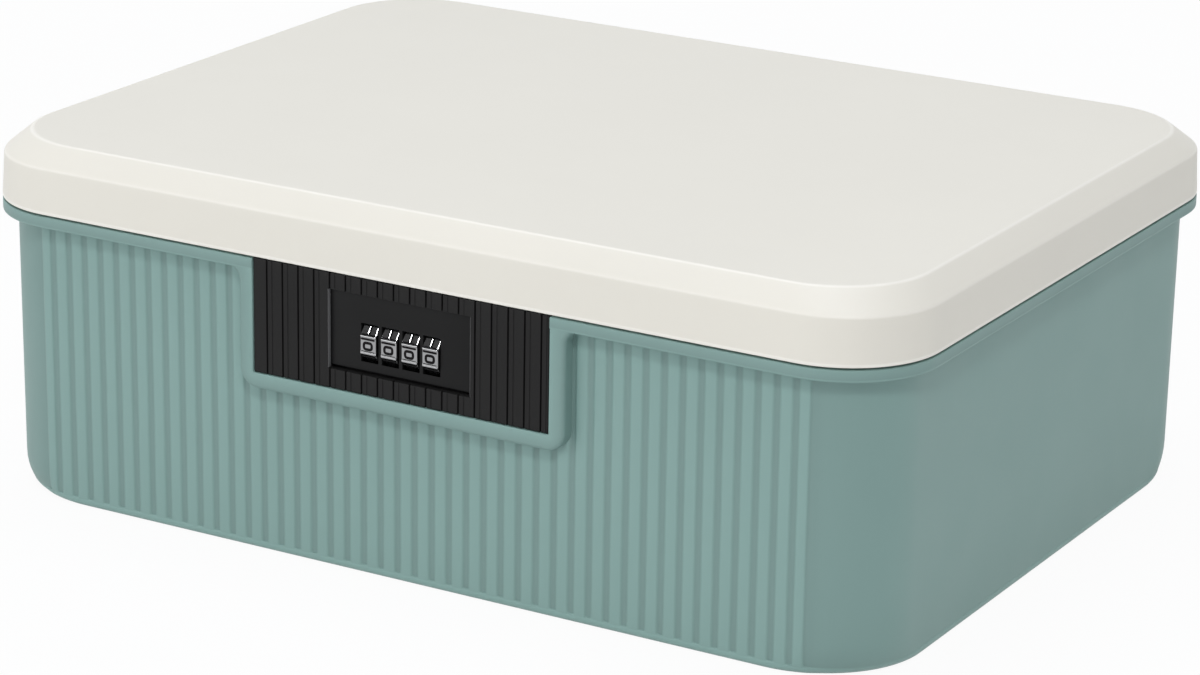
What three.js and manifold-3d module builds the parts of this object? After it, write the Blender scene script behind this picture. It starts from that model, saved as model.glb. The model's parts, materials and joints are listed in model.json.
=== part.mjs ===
// Medication lock box: a moulded tub with a hinged lid, held shut by a lock with four number dials.
// Millimetres, +Z up, the front faces -Y, and the origin is the middle of the flat base.

import * as THREE from 'three';
import { mergeVertices } from 'three/addons/utils/BufferGeometryUtils.js';
import Module from 'manifold-3d';

// Whole box
const LID_LENGTH = 320;
const LID_DEPTH = 240;
const PARTING_HEIGHT = 95;
const PARTING_GAP = 0.3;
const CORNER_RADIUS = 30;
const SEAT_GAP = 0.3;
const OVERRUN = 4;
const WELD_TOLERANCE = 0.0001;

// Lid
const LID_SKIRT_HEIGHT = 14.5;
const LID_SKIRT_DRAFT = 0.6;
const LID_BEVEL_HEIGHT = 6.5;
const LID_TOP_INSET = 7;
const LID_TOP_CORNER_RADIUS = 29;
const LID_WALL = 2.4;
const LID_CREASE = 1.4;
const LID_LOWER_ROUND = 0.5;
const LID_RIB_SPREAD_SHARE = 0.33;
const LID_RIB_END_MARGIN = 32;
const LID_RIB_THICKNESS = 1.6;
const LID_RIB_DEPTH = 3.6;

// Tub
const WALL_INSET_TOP = 5.2;
const WALL_INSET_FOOT = 5.7;
const TUB_WALL = 2.4;
const TUB_FLOOR = 2.6;
const CAVITY_ROUND = 4;
const FLANGE_HEIGHT = 4.6;
const FLANGE_ROUND = 1.6;
const LIP_HEIGHT = 4.2;
const PLINTH_HEIGHT = 3;
const PLINTH_TAPER = 0.5;
const FOOT_ROUND = 2.6;

// Upright ribs on the front of the tub
const RIB_FIELD_MARGIN = 26;
const RIB_PITCH = 6;
const RIB_TOP_WIDTH = 3.4;
const RIB_ROOT_WIDTH = 4.6;
const RIB_HEIGHT = 0.9;
const RIB_SINK = 0.8;

// Notch for the lock, and the raised border round it
const NOTCH_SIDE_MARGIN = 26.9;
const NOTCH_SILL = 6.3;
const NOTCH_DEPTH = 5;
const BORDER_WIDTH = 5;
const BORDER_CORNER_RADIUS = 6;
const BORDER_TOP_FILLET = 4;
const BORDER_LAP = 2.4;
const LOCK_PAD_THICKNESS = 2.4;
const LOCK_PAD_MARGIN = 1.5;
const HOUSING_WAY_MARGIN = 4;

// Hinge at the back
const HINGE_STANDOFF = 3.6;
const HINGE_SPREAD_SHARE = 0.55;
const KNUCKLE_RADIUS = 3.2;
const TUB_KNUCKLE_LENGTH = 12;
const LID_KNUCKLE_LENGTH = 20;
const KNUCKLE_SINK = 1.6;
const PIN_RADIUS = 1.3;
const PIN_RECESS = 0.6;

// Fascia
const FASCIA_SETBACK = 0.4;
const FASCIA_GROOVE_PITCH = 5.6;
const FASCIA_GROOVE_WIDTH = 1.9;
const FASCIA_GROOVE_DEPTH = 1;
const FASCIA_FIRST_GROOVE = 4.6;
const WINDOW_DROP = 5.1;
const WINDOW_LOWER_MARGIN = 0.65;

// Dial plate, set back in the window of the fascia
const PLATE_SETBACK = 1.3;
const PLATE_SIDE_MARGIN = 10.3;
const PLATE_RIM = 2;
const PLATE_RIM_THICKNESS = 1;
const PLATE_LOWER_GAP = 1.5;

// Number dials
const DIAL_COUNT = 4;
const DIAL_PITCH = 7.2;
const DIAL_SPACE = 1.8;
const DIAL_RADIUS = 8.75;
const DIAL_RIDGE_HEIGHT = 0.35;
const DIAL_DROP = 20.6;
const DIAL_PROUD = 1.6;
const DIAL_BORE_CLEARANCE = 0.3;
const DIGIT_COUNT = 10;
const DIGIT_FACE_SHARE = 0.74;
const RIDGE_TOP_SHARE = 0.14;
const SLOT_CLEARANCE = 0.35;
const SLOT_SIDE_GAP = 0.3;

// Code discs
const DISC_RADIUS = 5.6;
const DISC_THICKNESS = 1;
const DISC_GATE = 2.5;
const HUB_RADIUS = 4;
const KEY_WIDTH = 1.4;
const KEY_HEIGHT = 0.9;
const KEY_CLEARANCE = 0.25;

// Spindle and what sits on it
const SPINDLE_RADIUS = 1.5;
const SPINDLE_HEAD_RADIUS = 2.8;
const SPINDLE_HEAD_THICKNESS = 1;
const SPINDLE_TAIL = 2.4;
const SPINDLE_END_CLEARANCE = 0.6;
const CLIP_RADIUS = 3;
const CLIP_THICKNESS = 0.7;
const CLIP_GROOVE_DEPTH = 0.45;
const CLIP_MOUTH_WIDTH = 2;
const COLLAR_WALL = 1.2;
const SPRING_RADIUS = 2.5;
const SPRING_WIRE_RADIUS = 0.25;
const SPRING_TURNS = 2.5;

// Lock housing
const HOUSING_SIDE_MARGIN = 5.4;
const HOUSING_LOWER_MARGIN = 3.25;
const HOUSING_DROP = 4;
const HOUSING_WALL = 1.8;
const HOUSING_BACK_MARGIN = 4.7;
const EAR_DROP = 3;
const EAR_THICKNESS = 2;
const EAR_MARGIN = 4;
const COVER_THICKNESS = 2;
const COVER_BOSS_RADIUS = 2.4;
const COVER_BOSS_LENGTH = 3.9;
const COVER_BOSS_INSET = 4;

// Detent spring
const LEAF_THICKNESS = 0.4;
const LEAF_WIDTH = 4.4;
const LEAF_REACH = 3.8;
const LEAF_STRIP_DEPTH = 2.6;

// Hasp comb
const FINGER_THICKNESS = 0.9;
const FINGER_GATE_CLEARANCE = 1.7;
const FINGER_DEPTH = 3.8;
const FINGER_SHANK_DEPTH = 1.9;
const FINGER_TOE_LAP = 1.4;
const FINGER_TOE_HEIGHT = 4;
const WEB_CLEARANCE = 1.05;
const WEB_MARGIN = 1;
const HASP_BASE_RISE = 3.4;
const HASP_BASE_THICKNESS = 2.3;
const HASP_BASE_DEPTH = 11;
const HASP_POST_MARGIN = 4.4;
const HASP_POST_RADIUS = 4;
const HASP_END_MARGIN = 6;
const HASP_SLOT_CLEARANCE = 0.8;

// Code reset lever
const LEVER_RISE = 5;
const LEVER_TRAVEL = 3;
const LEVER_NECK_LENGTH = 3;
const LEVER_NECK_HEIGHT = 2.2;
const LEVER_KNOB_LENGTH = 9;
const LEVER_KNOB_HEIGHT = 5;
const LEVER_KNOB_DEPTH = 2.2;
const LEVER_FOOT_LENGTH = 6;
const LEVER_FOOT_HEIGHT = 5;
const LEVER_FOOT_DEPTH = 1.2;
const LEVER_GRIP_COUNT = 3;
const LEVER_GRIP_WIDTH = 0.8;
const LEVER_GRIP_DEPTH = 0.5;

// Screws: radii of shank and head, height of the head, length of the shank
const FASCIA_SCREW = { shank: 1.3, head: 2.6, height: 1.6, length: 8.6 };
const COVER_SCREW = { shank: 1, head: 2, height: 1.3, length: 5 };
const HASP_SCREW = { shank: 1.3, head: 2.8, height: 1.6, length: 9 };
const FASCIA_SCREW_OUTSET = 11.5;
const FASCIA_SCREW_RISE = 1.5;
const FASCIA_SCREW_DROP = 4;
const SCREW_HOLE_CLEARANCE = 0.3;
const SOCKET_SHARE = 0.5;

// Facets
const CORNER_STEPS = 7;
const ROUND_STEPS = 3;
const BARREL_SIDES = 20;
const SMALL_SIDES = 12;
const SOCKET_SIDES = 6;
const SPRING_SIDES = 5;
const SPRING_STEPS_PER_TURN = 8;

// Heights that several pieces share
const LID_TOP = PARTING_HEIGHT + LID_SKIRT_HEIGHT + LID_BEVEL_HEIGHT;
const FLANGE_TOP = PARTING_HEIGHT - PARTING_GAP;
const FLANGE_BOTTOM = FLANGE_TOP - FLANGE_HEIGHT;
const LIP_TOP = FLANGE_TOP + LIP_HEIGHT;
const DIAL_HEIGHT = PARTING_HEIGHT - DIAL_DROP;
const WINDOW_TOP = FLANGE_TOP - WINDOW_DROP;
const WINDOW_BOTTOM = DIAL_HEIGHT - DIAL_RADIUS - WINDOW_LOWER_MARGIN;
const NOTCH_BOTTOM = WINDOW_BOTTOM - NOTCH_SILL;
const HOUSING_TOP = PARTING_HEIGHT - HOUSING_DROP;
const HOUSING_BOTTOM = DIAL_HEIGHT - DIAL_RADIUS - HOUSING_LOWER_MARGIN;
const EAR_BOTTOM = HOUSING_BOTTOM - EAR_DROP;
const FINGER_TOE_TOP = DIAL_HEIGHT - DISC_RADIUS + FINGER_TOE_LAP;
const FINGER_TOE_BOTTOM = FINGER_TOE_TOP - FINGER_TOE_HEIGHT;
const WEB_BOTTOM = DIAL_HEIGHT + DIAL_RADIUS + WEB_CLEARANCE;
const HASP_BASE_BOTTOM = PARTING_HEIGHT + HASP_BASE_RISE;
const HASP_BASE_TOP = HASP_BASE_BOTTOM + HASP_BASE_THICKNESS;
const LEVER_HEIGHT = DIAL_HEIGHT + LEVER_RISE;
const HINGE_Z = PARTING_HEIGHT;

// Half widths of the lock, counted from the row of dials outwards
const DIAL_WIDTH = DIAL_PITCH - DIAL_SPACE;
const DIAL_ROW = DIAL_COUNT * DIAL_PITCH / 2;
const HOUSING_HALF = DIAL_ROW + HOUSING_SIDE_MARGIN;
const CHEEK_INNER = HOUSING_HALF - HOUSING_WALL;
const HOUSING_WAY_HALF = HOUSING_HALF + HOUSING_WAY_MARGIN;
const FASCIA_SCREW_X = HOUSING_HALF + FASCIA_SCREW_OUTSET;
const EAR_HALF = FASCIA_SCREW_X + EAR_MARGIN;
const WINDOW_HALF = DIAL_ROW + PLATE_SIDE_MARGIN;
const NOTCH_HALF = WINDOW_HALF + NOTCH_SIDE_MARGIN;
const HASP_POST_X = DIAL_ROW + HASP_POST_MARGIN;

// Planes along Y, from the front of the box to its hinge
const FRONT = - LID_DEPTH / 2;
const NOTCH_FLOOR = FRONT + NOTCH_DEPTH;
const BORDER_BACK = NOTCH_FLOOR + BORDER_LAP;
const LOCK_PAD = BORDER_BACK + LOCK_PAD_THICKNESS;
const FASCIA_FRONT = FRONT + FASCIA_SETBACK;
const FASCIA_BACK = NOTCH_FLOOR - SEAT_GAP;
const PLATE_FRONT = FASCIA_FRONT + PLATE_SETBACK;
const PLATE_RIM_FRONT = FASCIA_BACK - PLATE_RIM_THICKNESS;
const DIAL_AXIS_Y = PLATE_FRONT - DIAL_PROUD + DIAL_RADIUS;
const HOUSING_BACK = DIAL_AXIS_Y + DIAL_RADIUS + HOUSING_BACK_MARGIN;
const COVER_FRONT = HOUSING_BACK + SEAT_GAP;
const COVER_BACK = COVER_FRONT + COVER_THICKNESS;
const EAR_FRONT = LOCK_PAD + SEAT_GAP;
const EAR_BACK = EAR_FRONT + EAR_THICKNESS;
const FINGER_FRONT = DIAL_AXIS_Y + DISC_GATE + FINGER_GATE_CLEARANCE;
const FINGER_BACK = FINGER_FRONT + FINGER_DEPTH;
const SHANK_FRONT = FINGER_BACK - FINGER_SHANK_DEPTH;
const HINGE_Y = LID_DEPTH / 2 + HINGE_STANDOFF;

const wasm = await Module();
wasm.setup();

// Solids from geometries, and back

function solidOf( geometry ) {

	const bare = geometry.clone();
	bare.deleteAttribute( 'normal' );
	bare.deleteAttribute( 'uv' );
	const welded = mergeVertices( bare, WELD_TOLERANCE );
	return new wasm.Manifold( new wasm.Mesh( {
		numProp: 3,
		vertProperties: Float32Array.from( welded.attributes.position.array ),
		triVerts: Uint32Array.from( welded.index.array )
	} ) );

}

function geometryOf( solid ) {

	const mesh = solid.getMesh();
	const geometry = new THREE.BufferGeometry();
	geometry.setAttribute( 'position', new THREE.BufferAttribute( mesh.vertProperties, 3 ) );
	geometry.setIndex( new THREE.BufferAttribute( mesh.triVerts, 1 ) );
	geometry.computeVertexNormals();
	return geometry;

}

function joined( solids ) {

	return solids.reduce( ( whole, solid ) => whole.add( solid ) );

}

function cut( solid, cutters ) {

	return cutters.reduce( ( rest, cutter ) => rest.subtract( cutter ), solid );

}

// Basic forms: each range is [ low, high ] along its axis

function block( x, y, z ) {

	const box = new THREE.BoxGeometry( x[ 1 ] - x[ 0 ], y[ 1 ] - y[ 0 ], z[ 1 ] - z[ 0 ] );
	box.translate( ( x[ 0 ] + x[ 1 ] ) / 2, ( y[ 0 ] + y[ 1 ] ) / 2, ( z[ 0 ] + z[ 1 ] ) / 2 );
	return solidOf( box );

}

function rodAlongX( radius, x, centreY, centreZ, sides = BARREL_SIDES ) {

	const rod = new THREE.CylinderGeometry( radius, radius, x[ 1 ] - x[ 0 ], sides );
	rod.rotateZ( Math.PI / 2 );
	rod.translate( ( x[ 0 ] + x[ 1 ] ) / 2, centreY, centreZ );
	return solidOf( rod );

}

function rodAlongY( radius, y, centreX, centreZ ) {

	const rod = new THREE.CylinderGeometry( radius, radius, y[ 1 ] - y[ 0 ], SMALL_SIDES );
	rod.translate( centreX, ( y[ 0 ] + y[ 1 ] ) / 2, centreZ );
	return solidOf( rod );

}

function rodAlongZ( radius, z, centreX, centreY ) {

	const rod = new THREE.CylinderGeometry( radius, radius, z[ 1 ] - z[ 0 ], SMALL_SIDES );
	rod.rotateX( Math.PI / 2 );
	rod.translate( centreX, centreY, ( z[ 0 ] + z[ 1 ] ) / 2 );
	return solidOf( rod );

}

// An outline drawn in X and Z, as seen from the front, pushed from one Y to another
function frontPrism( outline, y ) {

	const prism = new THREE.ExtrudeGeometry( outline, { depth: y[ 1 ] - y[ 0 ], bevelEnabled: false } );
	prism.rotateX( Math.PI / 2 );
	prism.translate( 0, y[ 1 ], 0 );
	return solidOf( prism );

}

// An outline drawn in Y and Z, as seen from the right, pushed from one X to another
function sidePrism( outline, x ) {

	const prism = new THREE.ExtrudeGeometry( outline, { depth: x[ 1 ] - x[ 0 ], bevelEnabled: false } );
	const turn = new THREE.Matrix4().makeBasis(
		new THREE.Vector3( 0, 1, 0 ),
		new THREE.Vector3( 0, 0, 1 ),
		new THREE.Vector3( 1, 0, 0 )
	);
	prism.applyMatrix4( turn );
	prism.translate( x[ 0 ], 0, 0 );
	return solidOf( prism );

}

// A closed skin over a stack of rings with equal point counts, capped flat at both ends
function loft( rings ) {

	const count = rings[ 0 ].length;
	const points = rings.flat();
	const faces = [];
	for ( let level = 0; level < rings.length - 1; level ++ ) {

		for ( let step = 0; step < count; step ++ ) {

			const a = level * count + step;
			const b = level * count + ( step + 1 ) % count;
			faces.push( a, b, b + count, a, b + count, a + count );

		}

	}

	const last = ( rings.length - 1 ) * count;
	for ( let step = 1; step < count - 1; step ++ ) {

		faces.push( 0, step + 1, step );
		faces.push( last, last + step, last + step + 1 );

	}

	const geometry = new THREE.BufferGeometry().setFromPoints( points );
	geometry.setIndex( faces );
	return solidOf( geometry );

}

// The outline of the box, drawn in by an inset, at one height: a rectangle with round corners
function boxRing( inset, height, cornerRadius = CORNER_RADIUS - inset ) {

	const centreX = LID_LENGTH / 2 - inset - cornerRadius;
	const centreY = LID_DEPTH / 2 - inset - cornerRadius;
	const ring = [];
	for ( let corner = 0; corner < 4; corner ++ ) {

		const signX = corner === 0 || corner === 3 ? 1 : - 1;
		const signY = corner < 2 ? 1 : - 1;
		for ( let step = 0; step <= CORNER_STEPS; step ++ ) {

			const angle = ( corner + step / CORNER_STEPS ) * Math.PI / 2;
			ring.push( new THREE.Vector3(
				signX * centreX + cornerRadius * Math.cos( angle ),
				signY * centreY + cornerRadius * Math.sin( angle ),
				height
			) );

		}

	}

	return ring;

}

// Profile points [ inset, height ] of a rounded lower edge, from its flat underside to its upright face
function lowerRound( inset, height, radius ) {

	return Array.from( { length: ROUND_STEPS + 1 }, ( _, step ) => {

		const angle = step / ROUND_STEPS * Math.PI / 2;
		return [ inset + radius * ( 1 - Math.sin( angle ) ), height + radius * ( 1 - Math.cos( angle ) ) ];

	} );

}

// Profile points [ inset, height ] of a crease softened over the given distance on both sides
function softCrease( before, corner, after, distance ) {

	const [ start, middle, end ] = [ before, corner, after ].map( ( point ) => new THREE.Vector2( ...point ) );
	const curve = new THREE.QuadraticBezierCurve(
		middle.clone().add( start.sub( middle ).setLength( distance ) ),
		middle,
		middle.clone().add( end.sub( middle ).setLength( distance ) )
	);
	return curve.getPoints( ROUND_STEPS ).map( ( point ) => point.toArray() );

}

// A range that reaches as far to both sides of the middle
function around( half ) {

	return [ - half, half ];

}

// The tub wall leans in from the flange to the foot
function wallInset( height ) {

	return WALL_INSET_FOOT + ( WALL_INSET_TOP - WALL_INSET_FOOT ) * height / FLANGE_BOTTOM;

}

// Y of the front wall at any X, round the start of the corners too
function frontWallY( x, inset ) {

	const radius = CORNER_RADIUS - inset;
	const past = Math.max( 0, Math.abs( x ) - ( LID_LENGTH / 2 - CORNER_RADIUS ) );
	return FRONT + inset + radius - Math.sqrt( radius * radius - past * past );

}

function dialX( index ) {

	return ( index - ( DIAL_COUNT - 1 ) / 2 ) * DIAL_PITCH;

}

// The middle of the gap to the right of a dial, where its code disc and a finger of the hasp run
function gapX( index ) {

	return dialX( index ) + DIAL_PITCH / 2;

}

function circlePath( radius, centreX, centreY ) {

	return new THREE.Path().absarc( centreX, centreY, radius, 0, 2 * Math.PI, true );

}

// Tub

function tubOuter() {

	const plinthInset = wallInset( 0 ) - RIB_HEIGHT;
	const profile = [
		...lowerRound( plinthInset, 0, FOOT_ROUND ),
		[ plinthInset, PLINTH_HEIGHT ],
		[ wallInset( PLINTH_HEIGHT ), PLINTH_HEIGHT + PLINTH_TAPER ],
		[ WALL_INSET_TOP, FLANGE_BOTTOM ],
		...lowerRound( 0, FLANGE_BOTTOM, FLANGE_ROUND ),
		[ 0, FLANGE_TOP ],
		[ WALL_INSET_TOP, FLANGE_TOP ],
		[ WALL_INSET_TOP, LIP_TOP ]
	];
	return loft( profile.map( ( [ inset, height ] ) => boxRing( inset, height ) ) );

}

function tubCavity() {

	const profile = [
		...lowerRound( wallInset( TUB_FLOOR ) + TUB_WALL, TUB_FLOOR, CAVITY_ROUND ),
		[ WALL_INSET_TOP + TUB_WALL, FLANGE_BOTTOM ],
		[ WALL_INSET_TOP + TUB_WALL, LIP_TOP + OVERRUN ]
	];
	return loft( profile.map( ( [ inset, height ] ) => boxRing( inset, height ) ) );

}

function tubRib( x ) {

	const rings = [ PLINTH_HEIGHT - RIB_SINK, FLANGE_BOTTOM + RIB_SINK ].map( ( height ) => {

		const wallY = frontWallY( x, wallInset( height ) );
		return [
			new THREE.Vector3( x - RIB_TOP_WIDTH / 2, wallY - RIB_HEIGHT, height ),
			new THREE.Vector3( x + RIB_TOP_WIDTH / 2, wallY - RIB_HEIGHT, height ),
			new THREE.Vector3( x + RIB_ROOT_WIDTH / 2, wallY + RIB_SINK, height ),
			new THREE.Vector3( x - RIB_ROOT_WIDTH / 2, wallY + RIB_SINK, height )
		];

	} );
	return loft( rings );

}

// The border is a U with round lower corners that flows into the flange at its two upper ends
function notchBorder() {

	const side = NOTCH_HALF + BORDER_WIDTH;
	const bottom = NOTCH_BOTTOM - BORDER_WIDTH;
	const top = FLANGE_BOTTOM + FLANGE_ROUND;
	const corner = BORDER_CORNER_RADIUS;
	const fillet = BORDER_TOP_FILLET;
	const outline = new THREE.Shape();
	outline.absarc( - side + corner, bottom + corner, corner, Math.PI, 1.5 * Math.PI, false );
	outline.absarc( side - corner, bottom + corner, corner, 1.5 * Math.PI, 2 * Math.PI, false );
	outline.absarc( side + fillet, FLANGE_BOTTOM - fillet, fillet, Math.PI, Math.PI / 2, true );
	outline.lineTo( side + fillet, top );
	outline.lineTo( - side - fillet, top );
	outline.absarc( - side - fillet, FLANGE_BOTTOM - fillet, fillet, Math.PI / 2, 0, true );
	outline.closePath();
	return frontPrism( outline, [ FRONT, BORDER_BACK ] );

}

function lockPad() {

	return block(
		around( EAR_HALF + LOCK_PAD_MARGIN ),
		[ BORDER_BACK - BORDER_LAP / 2, LOCK_PAD ],
		[ EAR_BOTTOM - LOCK_PAD_MARGIN, HOUSING_TOP + LOCK_PAD_MARGIN ]
	);

}

// A hinge barrel with a block that ties it to the tub below the parting line, or to the lid above it
function knuckle( x, height ) {

	return rodAlongX( KNUCKLE_RADIUS, x, HINGE_Y, HINGE_Z )
		.add( block( x, [ LID_DEPTH / 2 - KNUCKLE_SINK, HINGE_Y ], height ) );

}

function hingeCentres() {

	return around( HINGE_SPREAD_SHARE * LID_LENGTH / 2 );

}

function pinBore( centre ) {

	const half = LID_KNUCKLE_LENGTH / 2 + TUB_KNUCKLE_LENGTH + OVERRUN;
	return rodAlongX( PIN_RADIUS + SEAT_GAP, [ centre - half, centre + half ], HINGE_Y, HINGE_Z, SMALL_SIDES );

}

function tubKnuckles( centre ) {

	const inner = LID_KNUCKLE_LENGTH / 2 + SEAT_GAP;
	const outer = inner + TUB_KNUCKLE_LENGTH;
	const height = [ HINGE_Z - KNUCKLE_RADIUS, FLANGE_TOP ];
	return [
		knuckle( [ centre - outer, centre - inner ], height ),
		knuckle( [ centre + inner, centre + outer ], height )
	];

}

function fasciaScrewPlaces() {

	const heights = [ HOUSING_BOTTOM + FASCIA_SCREW_RISE, HOUSING_TOP - FASCIA_SCREW_DROP ];
	return around( FASCIA_SCREW_X ).flatMap( ( x ) => heights.map( ( z ) => [ x, z ] ) );

}

function bodyTub() {

	const sideRibs = Math.floor( ( LID_LENGTH / 2 - RIB_FIELD_MARGIN ) / RIB_PITCH );
	const ribs = Array.from( { length: 2 * sideRibs + 1 }, ( _, index ) =>
		tubRib( ( index - sideRibs ) * RIB_PITCH ) );
	const outside = joined( [ tubOuter(), ...ribs, notchBorder() ] );
	const hollow = outside.subtract( tubCavity() );
	const whole = joined( [ hollow, lockPad(), ...hingeCentres().flatMap( tubKnuckles ) ] );
	const through = [ FRONT, LOCK_PAD + OVERRUN ];
	const screwHole = ( [ x, z ] ) => rodAlongY( FASCIA_SCREW.shank + SCREW_HOLE_CLEARANCE, through, x, z );
	return cut( whole, [
		block( around( NOTCH_HALF ), [ FRONT - OVERRUN, NOTCH_FLOOR ], [ NOTCH_BOTTOM, LIP_TOP ] ),
		block( around( HOUSING_WAY_HALF ), through, [ HOUSING_BOTTOM - SEAT_GAP, HOUSING_TOP + SEAT_GAP ] ),
		...fasciaScrewPlaces().map( screwHole ),
		...hingeCentres().map( pinBore )
	] );

}

// Lid

function lidOuter() {

	const skirtTop = PARTING_HEIGHT + LID_SKIRT_HEIGHT;
	const foot = [ 0, PARTING_HEIGHT ];
	const shoulder = [ LID_SKIRT_DRAFT, skirtTop ];
	const rim = [ LID_TOP_INSET, LID_TOP ];
	const inward = [ LID_TOP_INSET + LID_CREASE, LID_TOP ];
	const profile = [
		...lowerRound( foot[ 0 ], foot[ 1 ], LID_LOWER_ROUND ),
		...softCrease( foot, shoulder, rim, LID_CREASE ),
		...softCrease( shoulder, rim, inward, LID_CREASE )
	];
	return loft( profile.map( ( [ inset, height ] ) => boxRing( inset, height, lidCorner( inset ) ) ) );

}

// The corners of the lid turn wider towards its top than an even inset would make them
function lidCorner( inset ) {

	return CORNER_RADIUS + ( LID_TOP_CORNER_RADIUS - CORNER_RADIUS ) * inset / LID_TOP_INSET;

}

function lidHollow() {

	const profile = [
		[ LID_WALL, PARTING_HEIGHT - OVERRUN ],
		[ LID_WALL + LID_SKIRT_DRAFT, LID_TOP - LID_BEVEL_HEIGHT - LID_WALL / 2 ],
		[ LID_WALL + LID_TOP_INSET, LID_TOP - LID_WALL ]
	];
	return loft( profile.map( ( [ inset, height ] ) =>
		boxRing( inset, height, lidCorner( inset ) - LID_WALL ) ) );

}

function lidRib( x ) {

	return block(
		[ x - LID_RIB_THICKNESS / 2, x + LID_RIB_THICKNESS / 2 ],
		around( LID_DEPTH / 2 - LID_RIB_END_MARGIN ),
		[ LID_TOP - LID_WALL - LID_RIB_DEPTH, LID_TOP - LID_WALL / 2 ]
	);

}

function haspPostPlaces() {

	return around( HASP_POST_X ).map( ( x ) => [ x, FINGER_BACK - FINGER_SHANK_DEPTH / 2 ] );

}

function lidShell() {

	const height = [ PARTING_HEIGHT, HINGE_Z + KNUCKLE_RADIUS ];
	const postHeight = [ HASP_BASE_TOP + SEAT_GAP, LID_TOP - LID_WALL / 2 ];
	const halfKnuckle = LID_KNUCKLE_LENGTH / 2;
	const whole = joined( [
		lidOuter().subtract( lidHollow() ),
		...around( LID_RIB_SPREAD_SHARE * LID_LENGTH / 2 ).map( lidRib ),
		...haspPostPlaces().map( ( [ x, y ] ) => rodAlongZ( HASP_POST_RADIUS, postHeight, x, y ) ),
		...hingeCentres().map( ( centre ) => knuckle( [ centre - halfKnuckle, centre + halfKnuckle ], height ) )
	] );
	const holeHeight = [ HASP_BASE_BOTTOM, HASP_BASE_BOTTOM + HASP_SCREW.length + SEAT_GAP ];
	const screwHole = ( [ x, y ] ) => rodAlongZ( HASP_SCREW.shank + SCREW_HOLE_CLEARANCE, holeHeight, x, y );
	return cut( whole, [ ...haspPostPlaces().map( screwHole ), ...hingeCentres().map( pinBore ) ] );

}

// Fascia and dial plate

function lockFascia() {

	const half = NOTCH_HALF - SEAT_GAP;
	const height = [ NOTCH_BOTTOM + SEAT_GAP, FLANGE_TOP ];
	const grooveCount = Math.floor( ( 2 * half - FASCIA_FIRST_GROOVE ) / FASCIA_GROOVE_PITCH + 1 );
	const grooves = Array.from( { length: grooveCount }, ( _, index ) => {

		const x = - half + FASCIA_FIRST_GROOVE + index * FASCIA_GROOVE_PITCH;
		return block(
			[ x, x + FASCIA_GROOVE_WIDTH ],
			[ FASCIA_FRONT - OVERRUN, FASCIA_FRONT + FASCIA_GROOVE_DEPTH ],
			[ height[ 0 ] - OVERRUN, height[ 1 ] + OVERRUN ]
		);

	} );
	const rimClearance = PLATE_RIM + SEAT_GAP;
	const through = [ FASCIA_FRONT - OVERRUN, FASCIA_BACK + OVERRUN ];
	const holeDepth = [ EAR_BACK - FASCIA_SCREW.length - SEAT_GAP, FASCIA_BACK + OVERRUN ];
	const screwHole = ( [ x, z ] ) => rodAlongY( FASCIA_SCREW.shank + SCREW_HOLE_CLEARANCE, holeDepth, x, z );
	return cut( block( around( half ), [ FASCIA_FRONT, FASCIA_BACK ], height ), [
		...grooves,
		block( around( WINDOW_HALF ), through, [ WINDOW_BOTTOM, WINDOW_TOP ] ),
		block(
			around( WINDOW_HALF + rimClearance ),
			[ PLATE_RIM_FRONT - SEAT_GAP, FASCIA_BACK + OVERRUN ],
			[ WINDOW_BOTTOM - rimClearance, WINDOW_TOP + rimClearance ]
		),
		...fasciaScrewPlaces().map( screwHole )
	] );

}

function dialSlot( index ) {

	const half = DIAL_WIDTH / 2 + SLOT_SIDE_GAP;
	const range = [ dialX( index ) - half, dialX( index ) + half ];
	return rodAlongX( DIAL_RADIUS + SLOT_CLEARANCE, range, DIAL_AXIS_Y, DIAL_HEIGHT, 2 * BARREL_SIDES );

}

function dialPlate() {

	const pad = block(
		around( WINDOW_HALF - SEAT_GAP ),
		[ PLATE_FRONT, FASCIA_BACK ],
		[ WINDOW_BOTTOM + PLATE_LOWER_GAP, WINDOW_TOP - SEAT_GAP ]
	);
	const rim = block(
		around( WINDOW_HALF + PLATE_RIM ),
		[ PLATE_RIM_FRONT, FASCIA_BACK ],
		[ WINDOW_BOTTOM - PLATE_RIM, WINDOW_TOP + PLATE_RIM ]
	);
	const slots = Array.from( { length: DIAL_COUNT }, ( _, index ) => dialSlot( index ) );
	const discWay = rodAlongX(
		DISC_RADIUS + SLOT_CLEARANCE,
		[ dialX( 0 ), gapX( DIAL_COUNT - 1 ) + DISC_THICKNESS / 2 + SLOT_SIDE_GAP ],
		DIAL_AXIS_Y,
		DIAL_HEIGHT
	);
	return cut( pad.add( rim ), [ ...slots, discWay ] );

}

// Dials

// Ten flat digit faces with a raised ridge between neighbours; the first face looks to the front
function dialOutline() {

	const turn = 2 * Math.PI / DIGIT_COUNT;
	const corners = [
		[ - DIGIT_FACE_SHARE / 2, DIAL_RADIUS - DIAL_RIDGE_HEIGHT ],
		[ DIGIT_FACE_SHARE / 2, DIAL_RADIUS - DIAL_RIDGE_HEIGHT ],
		[ ( 1 - RIDGE_TOP_SHARE ) / 2, DIAL_RADIUS ],
		[ ( 1 + RIDGE_TOP_SHARE ) / 2, DIAL_RADIUS ]
	];
	const points = Array.from( { length: DIGIT_COUNT }, ( _, digit ) => corners.map( ( [ share, radius ] ) => {

		const angle = Math.PI + ( digit + share ) * turn;
		const axis = new THREE.Vector2( DIAL_AXIS_Y, DIAL_HEIGHT );
		return new THREE.Vector2( radius * Math.cos( angle ), radius * Math.sin( angle ) ).add( axis );

	} ) );
	return new THREE.Shape( points.flat() );

}

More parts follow.
